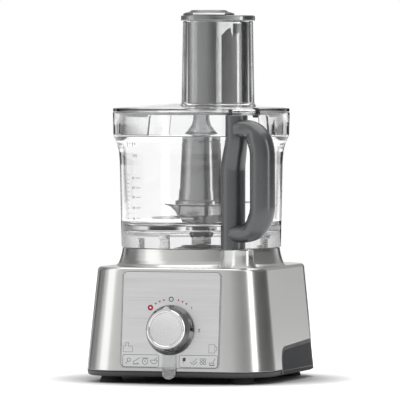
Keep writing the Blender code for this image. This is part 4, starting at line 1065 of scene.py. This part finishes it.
def dial():
    at = front_frame(DIAL_Z)
    top, edge = DIAL_HEIGHT, DIAL_FACE_RADIUS
    floor = top - DIAL_DISH
    rim = [
        (0, floor), (edge + 0.3, floor), (edge + 0.3, top - 0.7, 0.3), (19.0, top, 1.0), (20.4, top, 0.8),
        (21.6, top - 1.1, 1.0), (21.65, top - 2.6, 0.2), (20.5, top - 2.6, 0.2), (19.0, floor - 1.2, 0.2),
        (6.5, floor - 1.2, 0.3), (6.5, 1.0, 0.3), (3.3, 1.0, 0.1), (3.3, 9.3, 0), (0, 9.3, 0),
    ]
    skirt = [
        (20.3, top - 2.8, 0.2), (21.5, top - 2.8, 0.2), (21.7, 14.0, 1.0), (22.3, 11.0, 4), (23.8, 6.8, 4),
        (26.1, 3.3, 3), (27.2, 1.9, 0.5), (27.0, 0.6, 0.2), (24.6, 0.6, 0.3), (21.6, 5.0, 2),
        (19.9, 10.0, 2),
    ]
    body = turned("dial_rim", softened(rim), matrix=at)
    # The skirt's chrome is painted dark: a painted dark reflection.
    finish(turned("dial_skirt", softened(skirt), matrix=at), "dial", CHROME_PAINTED_DARK, "dial_chrome")
    beak = [
        (-6.6, 19.4, 0), (6.6, 19.4, 0), (1.6, 24.0, 0.9), (0.9, 24.7, 0.8), (-0.9, 24.7, 0.8),
        (-1.6, 24.0, 0.9),
    ]
    join(body, slab("beak", [softened(beak)], 11.5, top, at, 0.35))
    finish(body, "dial", CHROME, "dial_chrome", "dial_body")
    dish = [(edge * k / 14, top - 1.7 + 0.8 * (k / 14) ** 2) for k in range(15)]
    cap = turned("dial_face", dish + [(edge, floor + 0.3), (0, floor + 0.3)], matrix=at)
    finish(cap, "dial", PEARL, "dial_satin", "dial_cap")


# ---------------------------------------------------------------- bowl and handle


def bowl_outside(grow=0.0):
    points = [
        (COLLAR_OUTER, BOWL_RIM, 0.6), (97.0, 269.5, 8), (95.4, 264.6, 20), (92.6, 258.6, 30),
        (90.8, 251.0, 60), (*BOWL_SHOULDER, 300), (BOWL_RADIUS, BOWL_BOTTOM, 0.5),
    ]
    return [(r + grow, z, soft) for r, z, soft in points]


def bowl():
    inside = [
        (BOWL_RADIUS - 3.0, BOWL_BOTTOM, 0.5), (BOWL_RADIUS - 2.8, 165.8, 3), (50.0, 165.8, 0),
        (14.5, 165.8, 2.5), (11.5, 160.0, 0.4), (11.5, 243.0, 0.4), (14.0, 243.0, 0.6),
        (14.8, BOWL_FLOOR, 4), (80.5, BOWL_FLOOR, 4), (84.6, 172.6, 5), (86.9, 250.0, 20), (88.4, 257.5, 8),
        (91.2, 263.5, 6), (93.7, BOWL_LEDGE, 0.8), (COLLAR_INNER, 269.0, 1), (COLLAR_INNER, BOWL_RIM, 0.6),
    ]
    shell = turned("bowl_shell", softened(bowl_outside() + inside), 160)
    finish(shell, "bowl", CLEAR_BOWL, "clear_bowl", "bowl")
    # A painted shade line: a thin grey ring at the ledge, for the dark line that the clear wall shows there.
    line = turned("ledge_shade_line", [(93.3, 268.2), (91.9, 268.2), (91.9, 267.25), (93.3, 267.25)], FINE)
    finish(line, "bowl", SCALE_INK_AND_SHADE, "clear_bowl")
    graduations()


def curved_mark(name, angle, width, z, tall, radius):
    """A thin printed bar that follows the bowl's wall."""
    half = math.degrees(width / 2 / radius)
    far, near = ring_part(angle - half, angle + half, radius, radius + 0.08, 4)
    return lofted(name, [(far + near, z - tall / 2), (far + near, z + tall / 2)])


def graduations():
    """The measuring scale printed on the bowl: a column of ticks, and short bars beside it."""
    parts = []

    def mark(name, angle, width, z, tall):
        widening = (z - BOWL_BOTTOM) * (BOWL_SHOULDER[0] - BOWL_RADIUS) / (BOWL_SHOULDER[1] - BOWL_BOTTOM)
        radius = BOWL_RADIUS + 0.15 + widening
        parts.append(curved_mark(name, SCALE_ANGLE + angle, width, z, tall, radius))

    ticks = (225.2, 220.0, 215.6, 211.0, 206.6, 202.0, 197.6, 193.0, 188.8, 183.0, 177.5)
    for number, z in enumerate(ticks):
        mark(f"tick_{number}", -7.5, 2.4 if number % 2 else 4.2, z, 0.7)
    for number, z in enumerate((222.0, 211.2, 201.0, 189.4, 177.5)):
        mark(f"bar_{number}", 5.1, 7.4, z, 0.6)
        mark(f"bar_head_{number}", 0.4, 1.5, z, 2.6)
        mark(f"bar_tail_{number}", -1.4, 1.2, z, 2.6)
    for number, (angle, tall) in enumerate(((-6.0, 6.0), (-2.6, 1.4), (0.6, 5.0), (3.2, 2.2))):
        mark(f"label_{number}", angle, 1.2, 259.5, tall)
    for number, angle in enumerate((0.2, 2.2, 3.8)):
        mark(f"sign_{number}", angle, 1.1, 246.3, 2.8)
    finish(merged("bowl_scale", parts), "bowl", SCALE_INK_AND_SHADE, "clear_bowl")


def handle():
    """The spine against the bowl and the bent grip, with room cut for the bowl and the interlock rod."""
    spine = place(SPINE_ANGLE, SPINE_HIGH)
    foot = place(SPINE_ANGLE, SPINE_LOW)
    grip = Vector(GRIP_PLACE)
    bottom, top = GRIP_ARMS_Z
    lean_start, lean_end = SPINE_LEAN_Z
    heights = [lean_start + (lean_end - lean_start) * i / 20 for i in range(21)]
    heights = [BOWL_BOTTOM + 0.3, 200.0, *heights, SPINE_TOP - 1.0, SPINE_TOP]
    route, shares = [], []
    for z in heights:
        rise = eased(min(1.0, max(0.0, (z - lean_start) / (lean_end - lean_start))))
        route.append((SPINE_LOW + (SPINE_HIGH - SPINE_LOW) * rise, z))
        shares.append(1.0 - (1.0 - SPINE_SHARE_AT_TOP) * rise)
    shares[-1] -= 0.07
    column = tube("handle_body", [(*place(SPINE_ANGLE, d), z) for d, z in route], SPINE_RADIUS, 40, shares)

    def at(start, share, z):
        """A point on an arm, this share of the way from the spine to the grip."""
        along = grip - start
        front = Vector((along.y, -along.x)).normalized()
        x, y = start + along * share + front * ARM_SHIFT * max(0.0, 1.0 - share / 0.7)
        return (x, y, z)

    bend = GRIP_BEND / (grip - foot).length
    path = [at(spine, back / (grip - spine).length, top) for back, _ in ARM_ROOT]
    sizes = [size for _, size in ARM_ROOT]
    for root, centre, start in ((spine, top - GRIP_BEND, 90), (foot, bottom + GRIP_BEND, 0)):
        for i in range(17):
            turn = math.radians(start - 90 * i / 16)
            path.append(at(root, 1 - bend + bend * math.cos(turn), centre + GRIP_BEND * math.sin(turn)))
            swell = eased(min(1.0, (i if start else 16 - i) / 11))
            sizes.append(ARM_SHARE + (1 - ARM_SHARE) * swell)
    path += [at(foot, back / (grip - foot).length, bottom) for back, _ in ARM_ROOT[::-1]]
    sizes += [size for _, size in ARM_ROOT[::-1]]
    join(column, tube("grip", path, GRIP_RADIUS, 36, sizes))
    room = [(0.0, BOWL_RIM + 20, 0), (COLLAR_OUTER + 0.3, BOWL_RIM + 20, 0)] + bowl_outside(0.3)
    room += [(BOWL_RADIUS + 0.3, BOWL_BOTTOM - 20, 0), (0.0, BOWL_BOTTOM - 20, 0)]
    rod_bore = bore("rod_bore", ROD_BORE, 120, 320, ROD_PLACE, steps=24)
    cut(column, turned("bowl_room", softened(room)), rod_bore)
    finish(column, "bowl", GREY, "handle_grey", "bowl_handle")


# ---------------------------------------------------------------- knife and drive


def knife():
    profile = [
        (0, 265.4), (13.0, 265.4, 2), (18.3, 264.4, 3), (20.9, 260.5, 3), (21.4, 255.0, 4),
        (23.5, 209.6, 1.5), (24.4, 206.4, 1.5), (25.1, 196.6, 0.8), (28.5, 195.6, 0.7), (28.5, 191.2, 0.7),
        (25.3, 190.2, 0.8), (25.2, 180.0, 3), (22.5, 175.0, 2), (21.0, 171.5, 0.6), (17.5, 171.5, 0.4),
        (17.5, 240.0, 2), (15.4, 247.0, 1), (9.4, 247.0, 0.3), (9.4, 252.6, 0.3), (0, 252.6),
    ]
    hub = turned("hub", softened(profile))
    for i in range(2):
        turn = Matrix.Rotation(math.radians(180 * i + FIN_TURN), 4, "Z")
        fin = [
            (24.0, 190.8), (41.5, 192.7), (41.4, 192.0), (34.0, 189.4), (28.8, 184.0), (26.2, 178.6),
            (24.0, 176.0),
        ]
        stand = turn @ Matrix(((1, 0, 0, 0), (0, 0, -1, 0), (0, 1, 0, 0), (0, 0, 0, 1)))
        join(hub, slab(f"fin_{i}", [softened(fin, 1.0)], -1.1, 1.1, stand, 0.3))
    for name, z, angle in (("blade_upper", 193.2, 2.0), ("blade_lower", 178.0, 182.0)):
        blade(name, z, angle)
    finish(hub, "knife", HUB, "hub_grey", "knife_hub")
    button = [(0, 268.3), (9.4, 268.3, 0.8), (10.4, 265.3, 0.2), (0, 265.3)]
    finish(turned("hub_button", softened(button), MEDIUM), "knife", BLACK, "black_plastic")


def blade(node, z, angle):
    """A flat sickle blade of even thickness, with scallops like a bread knife's along its cutting edge."""
    back = arc(-4.0, 30.0, 50.0, -62, 68, 40)
    centre, front = (-20.0, 22.0), []
    for i, (x, y) in enumerate(arc(*centre, 44.0, 75, -50, 96)):
        pull = 0.5 * abs(math.sin(i * math.pi / 6))
        way = (Vector((x, y)) - Vector(centre)).normalized()
        front.append((x + way.x * pull, y + way.y * pull))
    outline, edge = ([p for p in side if math.hypot(*p) > BLADE_EDGE] for side in (back, front))
    first, last = edge[-1], outline[0]
    outline += edge
    start, end = (math.degrees(math.atan2(p[1], p[0])) for p in (first, last))
    outline += arc(0, 0, BLADE_ROOT, start, end, 10)
    turn = Matrix.Rotation(math.radians(angle), 4, "Z")
    plate = slab(f"{node}_plate", [outline], z - 0.8, z + 0.8, turn)
    finish(plate, "knife", BLADE, "blade_steel", node)


def drive():
    """The parts of the drive that show through the bowl or when the bowl is off."""
    profile = [
        (10.0, 163.0, 0.5), (11.2, 162.0, 0.5), (11.2, 153.0, 0.3), (6.3, 153.0, 0.1), (6.3, 163.0, 0.2),
    ]
    coupling = turned("coupling", softened(profile), 6, sharp=20.0)
    finish(coupling, "output_drive", SHAFT_STEEL, "shaft_steel", "drive_coupling")
    neck = 252.0
    profile = [
        (0, neck), (7.2, neck, 0.6), (8.2, neck - 2, 1), (8.8, 186, 6), (9.6, 164, 0.4), (9.6, 163.4, 0.1),
        (0, 163.4),
    ]
    shaft = turned("shaft", softened(profile), MEDIUM)
    tip = [(0, 260), (4.9, 260, 0.3), (5.6, 259, 0.3), (5.6, 245, 0), (0, 245)]
    join(shaft, turned("tip", softened(tip), 6))
    finish(shaft, "output_drive", DARK, "dark_plastic", "drive_shaft")


# ---------------------------------------------------------------- lid and pushers


def skirt_window(name, start, end, top):
    """A block that opens the lid's skirt between two directions, with slanting ends."""
    sections = []
    for z, spread in ((SKIRT_BOTTOM - 3, 1.5), (top - 1.5, -0.7), (top, -2.0)):
        far, near = ring_part(start - spread, end + spread, SKIRT_RADIUS[0] - 3, SKIRT_RADIUS[1] + 3, 24)
        sections.append((far + near, z))
    return lofted(name, sections)


def lid():
    bottom, top = LID_RIM_Z
    profile = [
        (10.2, LID_CROWN, 0.3), (34.0, LID_CROWN - 1.0, 0), (64.0, LID_CROWN - 3.0, 0),
        (92.0, LID_CROWN - 5.2, 2), (97.2, top, 1.2), (97.2, bottom, 0.5), (SKIRT_RADIUS[1], bottom, 0.6),
        (SKIRT_RADIUS[1], SKIRT_BOTTOM, 0.6), (SKIRT_RADIUS[0], SKIRT_BOTTOM, 0.6),
        (SKIRT_RADIUS[0], bottom + 1.6, 2), (64.0, LID_CROWN - 5.6, 0), (34.0, LID_CROWN - 3.6, 0),
        (10.2, LID_CROWN - 2.8, 0.3),
    ]
    body = turned("lid_shell", softened(profile), 160)
    cut(body, *(skirt_window(f"window_{i}", *window) for i, window in enumerate(SKIRT_WINDOWS)))
    first, second = feed_line()
    wide, narrow = FEED_RADIUS
    sections = [(stadium(first, second, wide), 292.0)]
    for i in range(6):
        z = 301.5 + i * 0.6
        sections.append((stadium(first, second, wide + 1.6 * (1 - i / 5) ** 2.0), z))
    sections.append((stadium(first, second, narrow), FEED_TOP - 0.5))
    sections.append((stadium(first, second, narrow - 0.5), FEED_TOP))
    far, near = ring_part(*TAB_ANGLES, 91.0, 111.0, 12)
    tab = slab("tab", [far + near], 290.6, 297.2, bevel=0.7)
    rim_room = [(98.6, 294.0), (98.6, 285.0), (80.0, 285.0), (80.0, 294.0)]
    cut(tab, turned("rim_room", rim_room))
    join(body, lofted("feed_tube", sections), tab)
    inside = [
        (stadium(first, second, wide - FEED_WALL + 0.1), 286.0),
        (stadium(first, second, narrow - FEED_WALL), FEED_TOP - 0.8),
        (stadium(first, second, narrow - FEED_WALL + 1.2), FEED_TOP + 0.4),
    ]
    cut(body, lofted("feed_bore", inside))
    finish(body, "lid", CLEAR_LID, "clear_lid", "lid")
    arch_boss()
    catch()


def catch():
    """The dark catch that hangs from the right end of the locking tab."""
    corners = ((51.4, 98.4), (51.4, 107.0), (53.2, 106.0), (53.2, 98.4))
    outline = [tuple(place(*corner)) for corner in corners]
    finish(slab("lid_catch", [outline], 288.0, 298.4, bevel=0.8), "lid", BLACK, "black_plastic")


def arch_boss():
    """A small arched rib inside the lid's skirt, by the locking tab."""
    turn = Matrix.Rotation(math.radians(ARCH_TURN), 4, "Z")
    stand = turn @ Matrix(((1, 0, 0, 0), (0, 0, 1, -0.0876), (0, -1, 0, 0), (0, 0, 0, 1)))
    outline = arc(0.0, -279.0, 5.5, 180, 360, 16) + [(5.5, -269.2), (-5.5, -269.2)]
    arch = slab("skirt_arch", [outline], -3.0, 0.0, stand, 0.8)
    finish(arch, "lid", CLEAR_LID, "clear_lid")


def bell():
    profile = [
        (0, LID_CROWN + 1.2), (9.9, LID_CROWN + 1.2, 0.6), (9.9, LID_CROWN - 3.4, 0.2),
        (8.9, LID_CROWN - 3.6, 0.2), (8.9, 283.0, 8), (10.4, 278.4, 6), (14.6, 273.6, 8), (19.3, 269.9, 0.4),
        (18.7, 269.0, 0.3), (13.6, 272.0, 8), (8.6, 277.4, 6), (7.0, 283.0, 6), (7.0, LID_CROWN - 1.0, 0.5),
        (0, LID_CROWN - 1.0),
    ]
    finish(turned("bell", softened(profile), MEDIUM), "lid", SMOKE, "smoked_bell", "lid_bearing")


def seal():
    bottom, top = 290.8, 293.2
    profile = [(94.0, top), (94.0, bottom + 0.8), (92.4, bottom), (90.9, bottom), (90.9, top)]
    finish(turned("rim_seal", softened(profile, 0.4)), "lid_seal", SEAL, "seal_rubber", "lid_seal")


def large_pusher():
    """A block with round ends: hollow at the right, and bored at the left for the small pusher."""
    bottom, top = PUSHER_BOTTOM, FLANGE_Z[0]
    right_end = arc(PUSHER_HALF, 0.0, PUSHER_RADIUS, -90, 90, 48)
    left_end = arc(-PUSHER_HALF, 0.0, PUSHER_RADIUS, 90, 270, 48)
    outer = [feed_point(*p) for p in right_end + list(PUSHER_FACETS) + left_end]
    inner_end = arc(PUSHER_HALF, 0.0, PUSHER_RADIUS - PUSHER_WALL, -90, 90, 32)
    inner = [feed_point(*p) for p in inner_end + [(4.4, 19.0), (-3.4, 17.9), (-3.4, -19.6)]]
    body = lofted("pusher_shell", [(outer, bottom), (outer, top + 1)])
    cut(body, lofted("pusher_hollow", [(inner, bottom - 4), (inner, top - 3)]))
    lean = Matrix.Rotation(math.radians(RECESS_LEAN), 4, "Y")
    cut(body, slab("recess", [PUSHER_RECESS], 19.9, 26.0, feed_frame() @ lean))
    left, right = feed_line()
    low_face, high_face = FLANGE_Z
    edges = [
        (-1.0, low_face), (-0.25, low_face + 0.3), (0.0, low_face + 1.0), (0.0, high_face - 1.3),
        (-0.35, high_face - 0.45), (-1.3, high_face),
    ]
    flange = lofted("flange", [(stadium(left, right, FLANGE_RADIUS + grow, 36), z) for grow, z in edges])
    sleeve, centre = SMALL_RADIUS + 0.5, feed_point(SMALL_ALONG, 0.0)
    thin, thick = sleeve - 0.2, sleeve + 1.8
    ring = [(thick, top + 0.5), (thick, bottom), (thin, bottom), (thin, top + 0.5)]
    join(body, flange, turned("guide", ring, FINE, centre))
    cut(body, bore("pusher_bore", sleeve, 290, CAP_TOP + 9, centre, steps=FINE))
    body.data.set_sharp_from_angle(angle=math.radians(8))
    finish(body, "large_pusher", PUSHER, "pusher_grey", "large_pusher")


def small_pusher():
    centre = feed_point(SMALL_ALONG, 0.0)
    bottom, top = PUSHER_BOTTOM + 0.5, FLANGE_Z[1]
    profile = [
        (0, top), (SMALL_RADIUS, top, 0.2), (SMALL_RADIUS, bottom, 0.5), (SMALL_RADIUS - 2, bottom, 0.5),
        (SMALL_RADIUS - 2, top - 4, 1.0), (0, top - 4),
    ]
    rod = turned("pusher_rod", softened(profile), MEDIUM, centre)
    finish(rod, "small_pusher", PUSHER, "pusher_grey", "small_pusher")
    bottom = FLANGE_Z[1] + 0.3
    profile = [
        (0, CAP_TOP - 1.2), (16.5, CAP_TOP - 1.2, 0.8), (17.4, CAP_TOP, 0.5), (18.8, CAP_TOP, 1.0),
        (21.4, CAP_TOP - 1.9, 2), (24.2, bottom + 3.0, 1.2), (27.3, bottom + 2.0, 0.8),
        (CAP_RADIUS, bottom + 1.2, 0.4), (CAP_RADIUS, bottom, 0.3), (0, bottom),
    ]
    centre = feed_point(CAP_ALONG, 0.0)
    cap = turned("pusher_cap", softened(profile), FINE, centre)
    finish(cap, "small_pusher", CAP, "cap_grey", "small_pusher_cap")
    cap_highlight_bands(centre, bottom)


def cap_highlight_bands(centre, bottom):
    """Two pale bands on the cap's rim, one facing the camera and one facing away: a painted highlight, where
    the rim catches the light from above.
    """
    parts = []
    for angle in (VIEW_ANGLE, VIEW_ANGLE + 180):
        far, near = ring_part(angle - HIGHLIGHT_HALF, angle + HIGHLIGHT_HALF, 21.0, CAP_RADIUS + 0.15, 24, centre)
        parts.append(slab(f"inset_{angle:.0f}", [far + near], bottom + 0.35, bottom + 2.3))
    finish(merged("cap_highlight_bands", parts), "small_pusher", PALE, "cap_grey")


# ---------------------------------------------------------------- nodes that keep their CAD shape

NODE_PAINTS = {
    SHAFT_STEEL: ("dial_shaft", "output_spindle", "spindle_bearing_lower", "spindle_bearing_upper",
                  "motor_shaft", "motor_pulley", "interlock_spring"),
    SCREW_STEEL: ("motor_bolt_left", "motor_bolt_right"),
    LAMINATION: ("motor_stator", "armature_core"),
    COPPER: ("field_coil_front", "field_coil_rear", "commutator"),
    BRASS: ("motor_bush_lower", "motor_bush_upper", "brush_holder_left", "brush_holder_right"),
    CAST: ("motor_top_bracket", "drive_frame"),
    BLACK: ("rotary_switch", "cooling_fan", "driven_pulley", "interlock_switch", "interlock_rod"),
    DARK: ("interlock_plunger",),
    RUBBER: ("drive_belt", "spindle_seal"),
    BOARD: ("filter_board",),
}


def paint_inner_nodes():
    for paint, names in NODE_PAINTS.items():
        for name in names:
            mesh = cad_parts[name].data
            mesh.materials.clear()
            mesh.materials.append(paint)


studio()
housing()
plinth()
feet()
screws()
gland()
panel()
marks()
lens()
dial()
bowl()
handle()
knife()
drive()
lid()
bell()
seal()
large_pusher()
small_pusher()
paint_inner_nodes()
